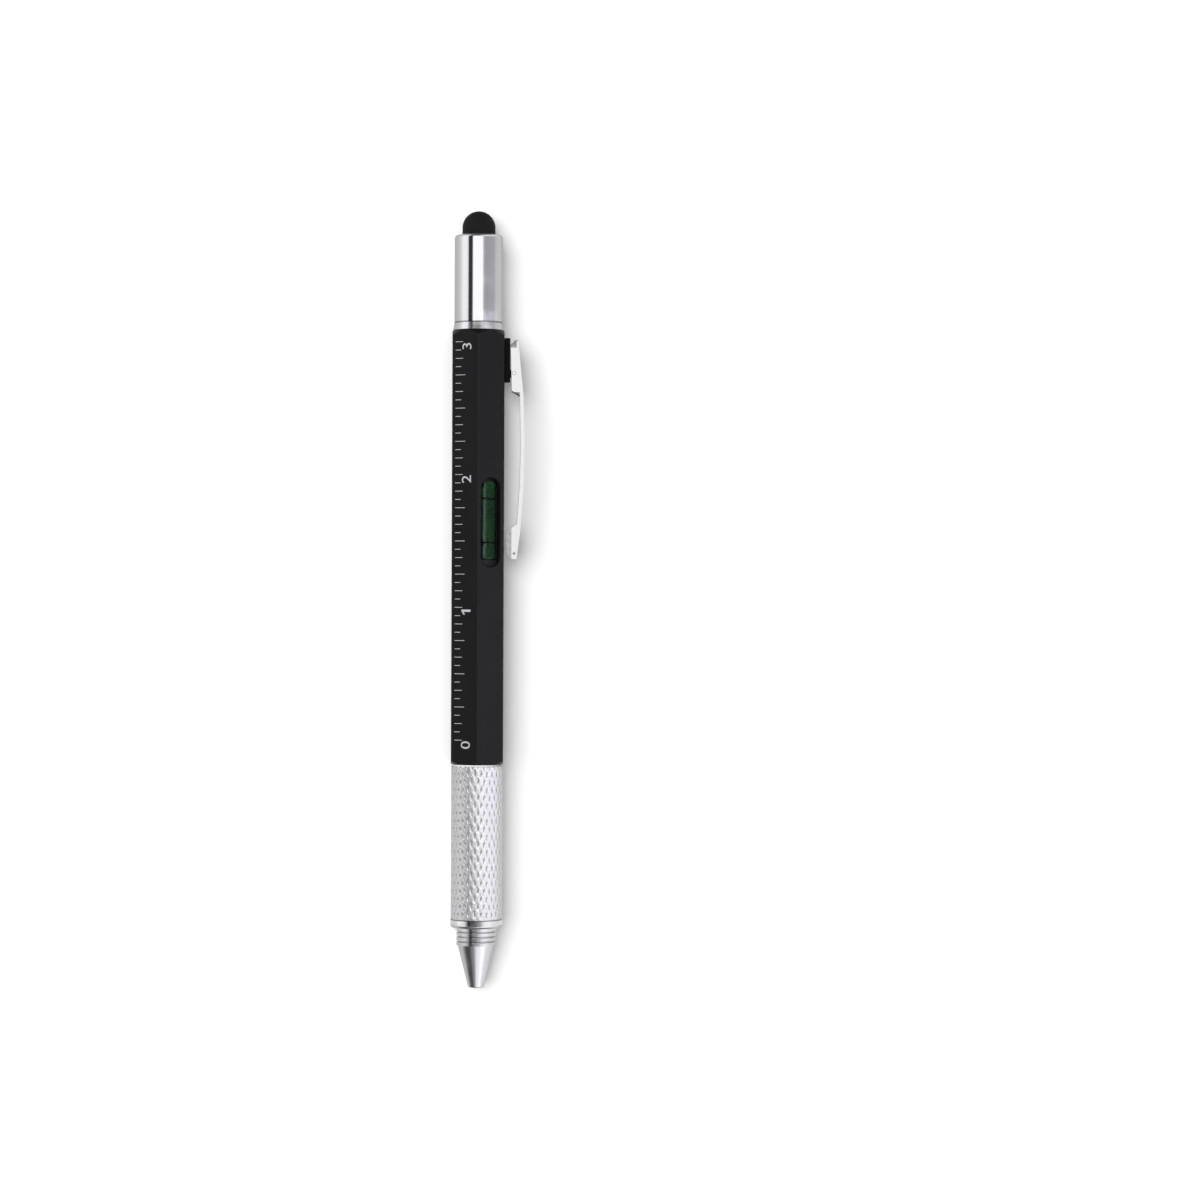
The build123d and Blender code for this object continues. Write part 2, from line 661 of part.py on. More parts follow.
def make_grip_core():
    """Inner tube of the grip, whose spigot turns in the cam sleeve and guides the plunger."""
    body = grip_core_diameter / 2 - SEAT_GAP
    spigot = spigot_diameter / 2
    groove_floor = spigot - RETAINER_GROOVE_DEPTH
    groove_high = retainer_high + RUNNING_GAP
    groove_low = retainer_high - RETAINER_THICKNESS - RUNNING_GAP
    core = turned(
        (sleeve_high, 0),
        (sleeve_high, body),
        (sleeve_low, body),
        (sleeve_low, spigot),
        (groove_high, spigot),
        (groove_high, groove_floor),
        (groove_low, groove_floor),
        (groove_low, spigot),
        (spigot_low, spigot),
        (spigot_low, 0),
    )
    thread_low = ring_high - NIB_THREAD_LENGTH - SEAT_GAP
    core -= rod(spigot_low - CUT_OVERRUN, sleeve_high, spigot_bore)
    core -= rod(thread_low, sleeve_high + CUT_OVERRUN, NIB_THREAD_DIAMETER)
    slot_width = PIN_DIAMETER + 2 * RUNNING_GAP
    slot = SlotOverall(REFILL_TRAVEL + slot_width, slot_width)
    slot_place = pin_place + REFILL_TRAVEL / 2
    core -= extrude(Plane.XZ * Pos(slot_place, 0) * slot, BARREL_BORE / 2, both=True)
    return core


def make_grip_end_ring():
    ring = rod(sleeve_high, ring_high, ACROSS_FLATS)
    rims = ring.edges().filter_by(GeomType.CIRCLE).sort_by(Axis.X)
    ring = fillet(rims[-1], END_RING_ROUND)
    return ring - rod(sleeve_high - CUT_OVERRUN, ring_high + CUT_OVERRUN, NIB_THREAD_DIAMETER)


def make_grip_washer():
    outer = grip_diameter - 2 * WASHER_INSET
    return tube(grip_low, grip_low + WASHER_THICKNESS, outer, spigot_diameter + 2 * SEAT_GAP)


def make_twist_o_ring():
    middle = (grip_low + cam_high) / 2 - SEAM_GAP
    major = spigot_diameter / 2 + TWIST_RING_SECTION / 2
    return Plane.YZ.offset(middle) * Torus(major, TWIST_RING_SECTION / 2)


def make_grip_retaining_clip():
    """Split ring in the spigot's groove, behind the cam sleeve."""
    bore = spigot_diameter - 2 * RETAINER_GROOVE_DEPTH + 2 * SEAT_GAP
    low = retainer_high - RETAINER_THICKNESS
    outer = BARREL_BORE - 2 * RETAINER_GAP
    ring = tube(low, retainer_high, outer, bore)
    gap = Box(RETAINER_THICKNESS + CUT_OVERRUN, RETAINER_OPENING, outer, align=FROM_START)
    return ring - Pos(low, 0, 0) * gap


def make_nib_cone():
    """Nose cone with turned grooves in its collar and a threaded spigot behind it."""
    collar = COLLAR_DIAMETER / 2
    floor = collar - COLLAR_GROOVE_DEPTH
    thread = NIB_THREAD_DIAMETER / 2 - SEAT_GAP
    thread_low = ring_high - NIB_THREAD_LENGTH
    outline = [(thread_low, 0), (thread_low, thread), (ring_high, thread), (ring_high, collar)]
    for number in range(COLLAR_GROOVES):
        low = ring_high + COLLAR_LAND + number * (COLLAR_LAND + COLLAR_GROOVE)
        high = low + COLLAR_GROOVE
        outline += [(low, collar), (low, floor), (high, floor), (high, collar)]
    outline += [
        (collar_high, collar),
        (collar_high, collar - CONE_STEP),
        (nib_tip, exit_bore / 2 + CONE_TIP_WALL),
        (nib_tip, 0),
    ]
    cone = turned(*outline)
    nose = cone.edges().filter_by(GeomType.CIRCLE).sort_by(Axis.X)[-1]
    cone = fillet(nose, CONE_TIP_ROUND)
    bore_high = nib_tip - NIB_EXIT_LENGTH
    cone -= rod(bore_high - CUT_OVERRUN, nib_tip + CUT_OVERRUN, exit_bore)
    return cone - rod(thread_low - CUT_OVERRUN, bore_high, NIB_BORE)


def make_refill_plunger():
    """Slider that grips the refill's rear end and carries the cross pin."""
    plunger = rod(plunger_low, plunger_high, spigot_bore - 2 * RUNNING_GAP)
    plunger -= rod(refill_tail - SEAT_GAP, plunger_high + CUT_OVERRUN, REFILL_DIAMETER + 2 * SEAT_GAP)
    cross = Rot(90, 0, 0) * Cylinder(PIN_DIAMETER / 2 + SEAT_GAP, spigot_bore + CUT_OVERRUN)
    return plunger - Pos(pin_place, 0, 0) * cross


def make_plunger_pin():
    pin = Rot(90, 0, 0) * Cylinder(PIN_DIAMETER / 2, BARREL_BORE - 2 * SLIDING_GAP)
    return Pos(pin_place, 0, 0) * pin


def make_refill_tube():
    return tube(refill_tail, tube_high, REFILL_DIAMETER, REFILL_DIAMETER - 2 * REFILL_WALL)


def make_refill_point():
    """Metal point with a cone, a neck and the ball's seat."""
    ball_place = refill_tip - BALL_DIAMETER / 2
    mouth = refill_tip - BALL_SHOWING
    cone_high = mouth - POINT_NECK
    point = turned(
        (tube_high - POINT_SPIGOT, 0),
        (tube_high - POINT_SPIGOT, REFILL_DIAMETER / 2 - REFILL_WALL - SEAT_GAP),
        (tube_high, REFILL_DIAMETER / 2 - REFILL_WALL - SEAT_GAP),
        (tube_high, REFILL_DIAMETER / 2),
        (cone_high - POINT_CONE, REFILL_DIAMETER / 2),
        (cone_high, POINT_NECK_DIAMETER / 2),
        (mouth, BALL_DIAMETER / 2 + POINT_LIP),
        (mouth, 0),
    )
    return point - Pos(ball_place, 0, 0) * Sphere(BALL_DIAMETER / 2 + SEAT_GAP)


def make_writing_ball():
    return Pos(refill_tip - BALL_DIAMETER / 2, 0, 0) * Sphere(BALL_DIAMETER / 2)


def make_refill_ink():
    bore = REFILL_DIAMETER - 2 * REFILL_WALL - 2 * SEAT_GAP
    return rod(ink_low, ink_high, bore)


# Every node with the function that makes it
nodes = {
    "barrel": make_barrel,
    "cam_sleeve": make_cam_sleeve,
    "vial_cradle": make_vial_cradle,
    "vial_tube": make_vial_tube,
    "vial_end_plug": make_vial_end_plug,
    "vial_liquid": make_vial_liquid,
    "vial_bubble": make_vial_bubble,
    "vial_line_rings": make_vial_line_rings,
    "top_insert": make_top_insert,
    "bit_magnet": make_bit_magnet,
    "cap_o_ring": make_cap_o_ring,
    "clip_bracket": make_clip_bracket,
    "clip_pin": make_clip_pin,
    "clip_spring": make_clip_spring,
    "clip": make_clip,
    "cap_sleeve": make_cap_sleeve,
    "stylus_plug": make_stylus_plug,
    "stylus_tip": make_stylus_tip,
    "screwdriver_bit": make_screwdriver_bit,
    "grip_sleeve": make_grip_sleeve,
    "grip_core": make_grip_core,
    "grip_end_ring": make_grip_end_ring,
    "grip_washer": make_grip_washer,
    "twist_o_ring": make_twist_o_ring,
    "grip_retaining_clip": make_grip_retaining_clip,
    "nib_cone": make_nib_cone,
    "refill_plunger": make_refill_plunger,
    "plunger_pin": make_plunger_pin,
    "refill_tube": make_refill_tube,
    "refill_point": make_refill_point,
    "writing_ball": make_writing_ball,
    "refill_ink": make_refill_ink,
}

# The shapes stand round the pen's axis; each is lifted so that the barrel rests at zero
os.makedirs("parts", exist_ok=True)
for name, make in nodes.items():
    shape = Pos(0, 0, half_flat) * make()
    export_step(shape, f"parts/{name}.step")
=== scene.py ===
import math

import bmesh
import bpy
from bpy.props import FloatProperty, FloatVectorProperty, IntProperty, PointerProperty
from mathutils import Matrix, Vector


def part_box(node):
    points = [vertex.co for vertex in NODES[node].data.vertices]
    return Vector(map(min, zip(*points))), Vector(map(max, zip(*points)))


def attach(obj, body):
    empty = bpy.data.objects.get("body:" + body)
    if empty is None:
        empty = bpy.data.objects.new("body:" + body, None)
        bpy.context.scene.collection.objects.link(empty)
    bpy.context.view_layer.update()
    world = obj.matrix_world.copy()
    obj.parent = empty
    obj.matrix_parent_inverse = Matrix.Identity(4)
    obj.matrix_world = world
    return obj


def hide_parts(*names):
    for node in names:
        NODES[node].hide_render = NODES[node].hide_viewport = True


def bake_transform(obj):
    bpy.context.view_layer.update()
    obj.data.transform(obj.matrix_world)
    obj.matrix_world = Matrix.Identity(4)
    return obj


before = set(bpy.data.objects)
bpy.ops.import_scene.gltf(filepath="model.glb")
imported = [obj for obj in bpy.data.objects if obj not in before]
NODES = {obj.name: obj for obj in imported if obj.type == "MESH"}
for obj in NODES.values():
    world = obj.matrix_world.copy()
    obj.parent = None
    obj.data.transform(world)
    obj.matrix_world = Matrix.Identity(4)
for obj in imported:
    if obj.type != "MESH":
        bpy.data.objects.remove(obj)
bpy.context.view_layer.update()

bl_info = {
    "name": "Multi tool pen",
    "version": (1, 0, 0),
    "blender": (4, 5, 0),
    "location": "View3D > Sidebar > Multi tool pen",
    "description": "Dresses the pen with its ruler, level, clip, screwdriver and stylus",
    "category": "Object",
}

MM = 0.001
INCH = 25.4 * MM
WELD = 0.002 * MM

# The pen lies along X with its nib at the high end. One flat of the barrel is on the floor, and the level's
# window is in the flat on top.
AXIS = Vector((0, 0, 5 * MM))
TO_CAP = Vector((-1, 0, 0))
TO_LEFT_FLAT = Vector((0, -math.sqrt(3) / 2, 0.5))
UP_LEFT_FLAT = Vector((0, 0.5, math.sqrt(3) / 2))
TO_CLIP = Vector((0, math.sqrt(3) / 2, 0.5))
TO_FRONT_EDGE = Vector((0, -0.5, math.sqrt(3) / 2))

# Places along the pen where painted shade begins or ends. The hood's end also bounds the hood's larger
# rounding.
CAP_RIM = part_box("cap_sleeve")[1].x
RING_START, COLLAR_START = (corner.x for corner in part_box("grip_end_ring"))
COLLAR_END = COLLAR_START + 3.34 * MM
CLIP_TOP, CLIP_TIP = (corner.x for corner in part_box("clip"))
HOOD_END = CLIP_TOP + 10.6 * MM

# Panels that a mirror on the pen sees: grey levels by angle round the pen, in degrees from straight up
# towards the clip's side
OVER_CAP = (
    (-180, 0.47), (-149, 0.54), (-133, 0.61), (-121, 0.76), (-108, 0.98), (-92, 0.95), (-83, 0.85),
    (-80, 0.3), (-77, 0.035), (-63, 0.03), (-59, 0.3), (-56, 1.08), (-12, 1.08), (-7, 0.47), (4, 0.35),
    (47, 0.39), (60, 0.53), (90, 0.58), (115, 0.45), (180, 0.47),
)
BEYOND_ENDS = (
    (-180, 0.50), (-133, 0.56), (-112, 0.86), (-86, 0.88), (-72, 0.30), (-64, 0.04), (-30, 0.03), (-20, 0.2),
    (-8, 0.6), (4, 0.94), (44, 0.94), (83, 0.68), (115, 0.5), (180, 0.50),
)
OVER_BARREL = (
    (-180, 0.42), (-110, 0.03), (-66, 0.03), (-54, 0.7), (-42, 1.08), (-26, 1.08), (-21, 2.4), (-2, 2.4),
    (8, 1.75), (60, 1.75), (84, 0.7), (120, 0.5), (180, 0.42),
)
OVER_LEVEL = (
    (-180, 0.30), (-84, 0.30), (-72, 1.6), (-44, 1.6), (-36, 1.05), (-24, 1.05), (-18, 0.06), (60, 0.04),
    (120, 0.20), (180, 0.30),
)
OVER_GRIP = (
    (-180, 0.66), (-133, 0.74), (-112, 1.18), (-86, 1.18), (-74, 0.45), (-67, 0.05), (-58, 0.02),
    (-40, 0.02), (-31, 0.08), (-22, 0.22), (-13, 0.29), (-5, 0.60), (4, 1.0), (34, 1.16), (44, 1.0),
    (83, 0.84), (115, 0.80), (180, 0.66),
)
OVER_COLLAR = (
    (-180, 0.50), (-132, 0.44), (-100, 0.30), (-88, 0.04), (-62, 0.03), (-50, 0.27), (-27, 0.36), (-4, 0.54),
    (20, 0.70), (48, 0.56), (82, 0.46), (180, 0.50),
)
OVER_NIB = (
    (-180, 0.55), (-146, 0.48), (-126, 0.16), (-106, 0.08), (-88, 0.06), (-74, 0.09), (-60, 0.22),
    (-46, 0.28), (-34, 0.70), (-18, 0.90), (-5, 0.92), (8, 1.1), (26, 1.1), (40, 0.83), (58, 0.7),
    (78, 0.66), (106, 0.5), (180, 0.55),
)

# The sets that take over in turn from the one over the cap. The two numbers say how far a reflection leans
# along X where the set begins to show, and where it shows alone.
PANEL_SETS = (
    (-0.36, -0.44, BEYOND_ENDS),
    (-0.077, -0.070, OVER_BARREL),
    (-0.046, -0.042, OVER_LEVEL),
    (-0.008, -0.004, OVER_BARREL),
    (0.048, 0.056, OVER_GRIP),
    (0.0982, 0.0992, OVER_COLLAR),
    (0.18, 0.22, BEYOND_ENDS),
    (0.34, 0.46, OVER_NIB),
)


# Sizes and colours


def length(name, description, default, **more):
    return FloatProperty(
        name=name, description=description, default=default, unit="LENGTH", precision=5, **more
    )


def colour(name, description, default):
    return FloatVectorProperty(
        name=name, description=description, default=default, subtype="COLOR", size=3, min=0, max=1
    )


def angle(name, description, degrees):
    return FloatProperty(
        name=name, description=description, default=math.radians(degrees), subtype="ANGLE"
    )


class PenSizes(bpy.types.PropertyGroup):
    knurl_pits: IntProperty(
        name="Knurl pits", description="Pits in one row round the grip", default=26, min=8
    )
    knurl_row: length("Knurl row", "From one row of pits to the next, along the pen", 1.49 * MM)
    first_row: length("First row", "From the grip's end at the barrel to its first row of pits", 1.45 * MM)
    knurl_depth: length("Knurl depth", "From the top of the grip to the bottom of a pit", 0.15 * MM)
    grip_bore: length("Grip bore", "Inside radius of the grip", 4.0 * MM)
    clip_rounding: length("Clip rounding", "Radius on the clip's edges", 0.14 * MM)
    hood_rounding: length("Hood rounding", "Radius on the ends of the clip's hood", 0.34 * MM)
    ruler_zero: length("Ruler zero", "Place of the ruler's first line along the pen", 36.97 * MM)
    tick_width: length("Tick width", "Width of a printed ruler line", 0.11 * MM)
    tick_start: length("Tick start", "From the barrel's outer edge to where the ruler lines begin", 0.75 * MM)
    sixteenth: length("Sixteenth line", "Length of the ruler's shortest lines", 1.2 * MM)
    eighth: length("Eighth line", "Length of the ruler's middle lines", 1.65 * MM)
    quarter: length("Quarter line", "Length of the ruler's longest lines", 2.15 * MM)
    figure_height: length("Figure height", "Height of the ruler's figures", 2.0 * MM)
    figure_foot: length("Figure foot", "From the barrel's outer edge to the foot of the figures", 4.22 * MM)
    figure_place: length("Figure place", "From a ruler line to the middle of its figure", 0.9 * MM)
    figure_stretch: FloatProperty(
        name="Figure stretch", description="Figures' width against the plain font's", default=1.15
    )
    print_height: length("Print height", "How far the printed lines stand off the barrel", 0.012 * MM)
    liquid_radius: length("Liquid radius", "Liquid as wide as the tube's wall makes it look", 1.87 * MM)
    liquid_corner: length("Liquid corner", "Radius on the ends of the liquid", 0.45 * MM)
    tube_end_wall: length("Tube end wall", "From the tube's end to the liquid", 0.15 * MM)


class PenColours(bpy.types.PropertyGroup):
    anodising: colour("Anodising", "Black anodised aluminium of the barrel", (0.0041, 0.0041, 0.0046))
    chrome: colour("Chrome", "Bright plating of the cap, holder, end ring and nose cone", (0.90, 0.90, 0.915))
    satin: colour("Satin metal", "Plating of the knurled grip", (0.90, 0.90, 0.91))
    clip: colour("Clip metal", "Polished plating of the clip", (0.80, 0.80, 0.80))
    ink: colour("Ruler ink", "Printed ruler lines and figures", (0.33, 0.33, 0.34))
    liquid: colour("Level liquid", "Dyed liquid in the level", (0.055, 0.235, 0.095))
    rubber: colour("Rubber", "Stylus tip and rings", (0.0065, 0.0065, 0.007))


class StageSettings(bpy.types.PropertyGroup):
    lens: FloatProperty(name="Lens", description="Focal length in millimetres", default=100, min=20)
    distance: length("Distance", "From the camera to the pen's axis", 641.7 * MM)
    aim: length("Aim", "Place along the pen that is level with the camera", 10.06 * MM)
    beside: angle("Beside", "Camera turned away from the pen", 2.104)
    roll: angle("Roll", "Lean of the pen in the picture", 0.2275)
    key: FloatProperty(name="Key light", description="Share of the floor's light from the lamp", default=0.70)
    key_tilt: angle("Key tilt", "Lamp's angle from straight up, towards the ruler's side", 41)
    key_lean: FloatProperty(name="Key lean", description="Lamp's lean towards the cap", default=0.08)
    key_spread: angle("Key spread", "How wide the lamp looks", 30)
    fill: FloatProperty(
        name="Fill light", description="Share of the floor's light from all round", default=0.45
    )
    fill_slant: FloatProperty(
        name="Fill slant", description="How much more of the fill comes from the ruler's side",
        default=1.0, min=0, max=1,
    )
    floor_size: length("Floor size", "From the floor's middle to its edge", 3.0)
    floor_gap: length("Floor gap", "From the pen down to the floor", 0.01 * MM)


def sizes():
    return bpy.context.scene.pen_sizes


def colours():
    return bpy.context.scene.pen_colours


# Shader nodes


def place(tree, kind, inputs=None, **settings):
    """Adds a node. A socket among the inputs is linked, and any other value is set."""
    node = tree.nodes.new(kind)
    for key, value in settings.items():
        setattr(node, key, value)
    for key, value in (inputs or {}).items():
        if isinstance(value, bpy.types.NodeSocket):
            tree.links.new(value, node.inputs[key])
        else:
            node.inputs[key].default_value = value
    return node


def maths(tree, operation, a, b=0.0, c=0.0):
    return place(tree, "ShaderNodeMath", {0: a, 1: b, 2: c}, operation=operation).outputs[0]


def span(tree, value, low, high, to_low=0.0, to_high=1.0):
    """The value, moved from the range low to high to the other range and held within it."""
    return place(
        tree,
        "ShaderNodeMapRange",
        {"Value": value, "From Min": low, "From Max": high, "To Min": to_low, "To Max": to_high},
    ).outputs["Result"]


def blend(tree, share, a, b):
    """The colour a, or b where the share is 1."""
    return place(
        tree, "ShaderNodeMix", {0: share, 6: a, 7: b}, data_type="RGBA", clamp_factor=True
    ).outputs[2]


def cloud(tree, where, scale, detail):
    """Plain noise from 0 to 1."""
    return place(
        tree, "ShaderNodeTexNoise", {"Vector": where, "Scale": scale, "Detail": detail}
    ).outputs["Fac"]


def on_piece(tree):
    """The point on the piece, in the frame's metres."""
    return place(tree, "ShaderNodeTexCoord").outputs["Object"]


def group(name, inputs, outputs):
    """A shader node group of numbers with named sockets, and its input and output nodes."""
    tree = bpy.data.node_groups.new(name, "ShaderNodeTree")
    for label, default in inputs:
        socket = tree.interface.new_socket(name=label, in_out="INPUT", socket_type="NodeSocketFloat")
        socket.default_value = default
    for label in outputs:
        tree.interface.new_socket(name=label, in_out="OUTPUT", socket_type="NodeSocketFloat")
    return tree, tree.nodes.new("NodeGroupInput").outputs, tree.nodes.new("NodeGroupOutput").inputs


def make_grain():
    """Fine even grain, as of blasted, moulded or plated surfaces."""
    tree, given, made = group("Fine grain", [("Size", 0.1 * MM), ("Depth", 1.0)], ["Height", "Tone"])
    scale = maths(tree, "DIVIDE", 1.0, given["Size"])
    noise = place(
        tree, "ShaderNodeTexNoise",
        {"Vector": on_piece(tree), "Scale": scale, "Detail": 3.0, "Roughness": 0.6},
    ).outputs["Fac"]
    tree.links.new(maths(tree, "MULTIPLY", noise, given["Depth"]), made["Height"])
    tree.links.new(noise, made["Tone"])
    return tree


def make_lines():
    """Turning marks round the pen's axis: uneven rings, a little broken up."""
    tree, given, made = group("Turning lines", [("Pitch", 0.1 * MM), ("Depth", 1.0)], ["Height", "Tone"])
    where = on_piece(tree)
    along = place(tree, "ShaderNodeSeparateXYZ", {0: where}).outputs["X"]
    turns = maths(tree, "DIVIDE", along, given["Pitch"])
    rings = place(
        tree, "ShaderNodeTexNoise", {"W": turns, "Scale": 1.0, "Detail": 3.0, "Roughness": 0.7},
        noise_dimensions="1D",
    ).outputs["Fac"]
    patches = cloud(tree, where, 900.0, 1.0)
    mixed = maths(tree, "MULTIPLY_ADD", patches, 0.25, rings)
    tree.links.new(maths(tree, "MULTIPLY", mixed, given["Depth"]), made["Height"])
    tree.links.new(mixed, made["Tone"])
    return tree


def make_handling():
    """Marks of handling: soft smudges, and within them a few hairline scratches in two directions."""
    tree, given, made = group("Handling", [("Size", 4 * MM), ("Scratches", 0.3)], ["Smudge", "Scratch"])
    where = on_piece(tree)
    scale = maths(tree, "DIVIDE", 1.0, given["Size"])
    noise = place(
        tree, "ShaderNodeTexNoise",
        {"Vector": where, "Scale": scale, "Detail": 4.0, "Roughness": 0.55, "Distortion": 0.6},
    ).outputs["Fac"]
    smudge = span(tree, noise, 0.42, 0.68)
    hairs = []
    for turn, stretch in ((0.5, (250.0, 3200.0, 3200.0)), (-0.9, (600.0, 2600.0, 2600.0))):
        tilted = place(
            tree, "ShaderNodeMapping",
            {"Vector": where, "Rotation": (0.4 * turn, 0.3, turn), "Scale": stretch},
        ).outputs[0]
        to_edge = place(
            tree, "ShaderNodeTexVoronoi", {"Vector": tilted, "Scale": 1.0}, feature="DISTANCE_TO_EDGE"
        ).outputs["Distance"]
        hairs.append(span(tree, to_edge, 0.0, 0.02, 1.0, 0.0))
    kept = maths(tree, "MULTIPLY", maths(tree, "MAXIMUM", *hairs), smudge)
    tree.links.new(smudge, made["Smudge"])
    tree.links.new(maths(tree, "MULTIPLY", kept, given["Scratches"]), made["Scratch"])
    return tree


def make_wear():
    """Worn edges: up to the amount where the surface bends within the radius, broken up by noise."""
    tree, given, made = group("Edge wear", [("Radius", 0.2 * MM), ("Amount", 0.5)], ["Worn"])
    rounded = place(tree, "ShaderNodeBevel", {"Radius": given["Radius"]}, samples=4).outputs[0]
    facing = place(tree, "ShaderNodeNewGeometry").outputs["Normal"]
    same = place(
        tree, "ShaderNodeVectorMath", {0: rounded, 1: facing}, operation="DOT_PRODUCT"
    ).outputs["Value"]
    edge = span(tree, same, 0.995, 0.93)
    patches = span(tree, cloud(tree, on_piece(tree), 700.0, 4.0), 0.40, 0.62)
    broken = maths(tree, "MULTIPLY", edge, patches)
    tree.links.new(maths(tree, "MULTIPLY", broken, given["Amount"]), made["Worn"])
    return tree


def make_shade():
    """1 where a surface lies under a radius from the pen's axis, between two places along the pen: the mask
    for painted shade in grooves, pits, seams and the clip's hollows.
    """
    tree, given, made = group(
        "Groove shade", [("Clean", 4 * MM), ("Depth", 0.2 * MM), ("Start", -1.0), ("End", 1.0)], ["Shade"]
    )
    where = on_piece(tree)
    split = place(tree, "ShaderNodeSeparateXYZ", {0: where}).outputs
    up = maths(tree, "SUBTRACT", split["Z"], AXIS.z)
    across_squared = maths(tree, "MULTIPLY", split["Y"], split["Y"])
    radius = maths(tree, "SQRT", maths(tree, "MULTIPLY_ADD", up, up, across_squared))
    deep = span(tree, maths(tree, "SUBTRACT", given["Clean"], radius), 0.0, given["Depth"])
    past = maths(tree, "GREATER_THAN", split["X"], given["Start"])
    short = maths(tree, "LESS_THAN", split["X"], given["End"])
    patches = span(tree, cloud(tree, where, 1400.0, 3.0), 0.3, 0.7, 0.75, 1.0)
    between = maths(tree, "MULTIPLY", past, short)
    uneven = maths(tree, "MULTIPLY", deep, patches)
    tree.links.new(maths(tree, "MULTIPLY", uneven, between), made["Shade"])
    return tree


def effect(name):
    """The shared node group of that name, built once."""
    makers = {
        "Fine grain": make_grain,
        "Turning lines": make_lines,
        "Handling": make_handling,
        "Edge wear": make_wear,
        "Groove shade": make_shade,
    }
    return bpy.data.node_groups.get(name) or makers[name]()


def use(tree, name, **values):
    inputs = {key.capitalize(): value for key, value in values.items()}
    return place(tree, "ShaderNodeGroup", inputs, node_tree=effect(name)).outputs


# Finishes


def shaded(dark, start=-1.0, end=1.0, under=9 * MM, fade=0.1 * MM):
    """Painted shade: a darker colour from start to end along the pen, on what lies under that radius from the
    pen's axis.
    """
    return dark, {"clean": under, "depth": fade, "start": start, "end": end}


def material(
    name, base, rough=(0.3, 0.4), metallic=0.0, grain=None, lines=None, smudge=4 * MM, scratches=0.3,
    wear=None, shades=(), uneven=0.06, **shader,
):
    """A finish. grain and lines are a size and a depth, wear is a radius, an amount and the colour under the
    finish, shades come from shaded, and uneven is how far the base colour strays. Any other name is a socket
    of the shader, with _ for each space."""
    ready = bpy.data.materials.get(name)
    if ready:
        return ready
    made = bpy.data.materials.new(name)
    made.use_nodes = True
    tree = made.node_tree
    surface = tree.nodes["Principled BSDF"]
    surface.inputs["Metallic"].default_value = metallic
    for socket, value in shader.items():
        surface.inputs[socket.replace("_", " ")].default_value = value

    marks = use(tree, "Handling", size=smudge, scratches=scratches)
    tone = marks["Smudge"]
    height = None
    for effect_name, spacing, given in (("Fine grain", "size", grain), ("Turning lines", "pitch", lines)):
        if given:
            texture = use(tree, effect_name, **{spacing: given[0], "depth": given[1]})
            height = texture["Height"] if height is None else maths(tree, "ADD", height, texture["Height"])
            tone = maths(tree, "MULTIPLY_ADD", texture["Tone"], 0.5, maths(tree, "MULTIPLY", tone, 0.5))
    if height is not None:
        bump = place(tree, "ShaderNodeBump", {"Strength": 1.0, "Distance": 1.0, "Height": height})
        tree.links.new(bump.outputs[0], surface.inputs["Normal"])

    roughness = span(tree, tone, 0.15, 0.85, *rough)
    roughness = maths(tree, "MULTIPLY_ADD", marks["Scratch"], 0.25, roughness)
    darker = [channel * (1 - uneven) for channel in base]
    lighter = [min(1.0, channel * (1 + uneven)) for channel in base]
    tint = blend(tree, tone, (*darker, 1), (*lighter, 1))
    if wear:
        radius, amount, bare = wear
        worn = use(tree, "Edge wear", radius=radius, amount=amount)["Worn"]
        tint = blend(tree, worn, tint, (*bare, 1))
    for dark, stretch in shades:
        tint = blend(tree, use(tree, "Groove shade", **stretch)["Shade"], tint, (*dark, 1))
    tree.links.new(tint, surface.inputs["Base Color"])
    tree.links.new(roughness, surface.inputs["Roughness"])
    return made


def anodised():
    return material(
        "Black anodised aluminium", colours().anodising, (0.22, 0.32), grain=(0.09 * MM, 0.0016 * MM),
        smudge=9 * MM, scratches=0.5, wear=(0.12 * MM, 0.35, (0.045, 0.045, 0.048)), uneven=0.12,
        Specular_IOR_Level=0.24,
    )


# Black like the barrel, and darker still as painted shade from the clip's hood, which overhangs the bracket.
def bracket_black():
    return material(
        "Black clip bracket with painted shade", (0.0020, 0.0020, 0.0022), (0.34, 0.46), grain=(0.10 * MM, 0.0014 * MM),
        smudge=6 * MM, uneven=0.12, Specular_IOR_Level=0.08,
    )


def chrome():
    """Bright plating, with painted shade in the seam under the cap and in the seam above the end ring."""
    return material(
        "Bright chrome", colours().chrome, (0.035, 0.085), metallic=1.0, grain=(0.3 * MM, 0.00025 * MM),
        smudge=5 * MM, scratches=0.25, uneven=0.015,
        shades=[
            shaded((0.36, 0.36, 0.37), CAP_RIM - 0.15 * MM, CAP_RIM + 0.15 * MM),
            shaded((0.30, 0.30, 0.31), RING_START - 0.1 * MM, RING_START + 0.12 * MM),
        ],
    )


def clip_metal():
    """Polished plating, with painted shade on the inside of the clip's lobe, on the hood's cheeks at its top
    end and at its lower mouth.
    """
    return material(
        "Polished clip metal", colours().clip, (0.09, 0.17), metallic=1.0, grain=(0.25 * MM, 0.0006 * MM),
        smudge=3 * MM, scratches=0.6, uneven=0.05,
        shades=[
            shaded((0.36, 0.36, 0.36), CLIP_TIP - 6.9 * MM, CLIP_TIP + 0.3 * MM, 6.9 * MM, 0.25 * MM),
            shaded((0.20, 0.20, 0.20), CLIP_TOP - 1.3 * MM, CLIP_TOP + 1.4 * MM, 7.64 * MM, 0.04 * MM),
            shaded((0.12, 0.12, 0.12), HOOD_END - 0.65 * MM, HOOD_END + 0.8 * MM, 8.24 * MM, 0.04 * MM),
        ],
    )


def satin():
    """Satin plating, with painted shade at the bottom of the knurl's pits."""
    low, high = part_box("grip_sleeve")
    top = (high.z - low.z) / 2
    return material(
        "Satin plated steel", colours().satin, (0.23, 0.30), metallic=0.9, grain=(0.06 * MM, 0.0009 * MM),
        smudge=6 * MM, scratches=0.2, uneven=0.04,
        shades=[shaded((0.46, 0.46, 0.47), under=top - 0.04 * MM, fade=0.08 * MM)],
    )


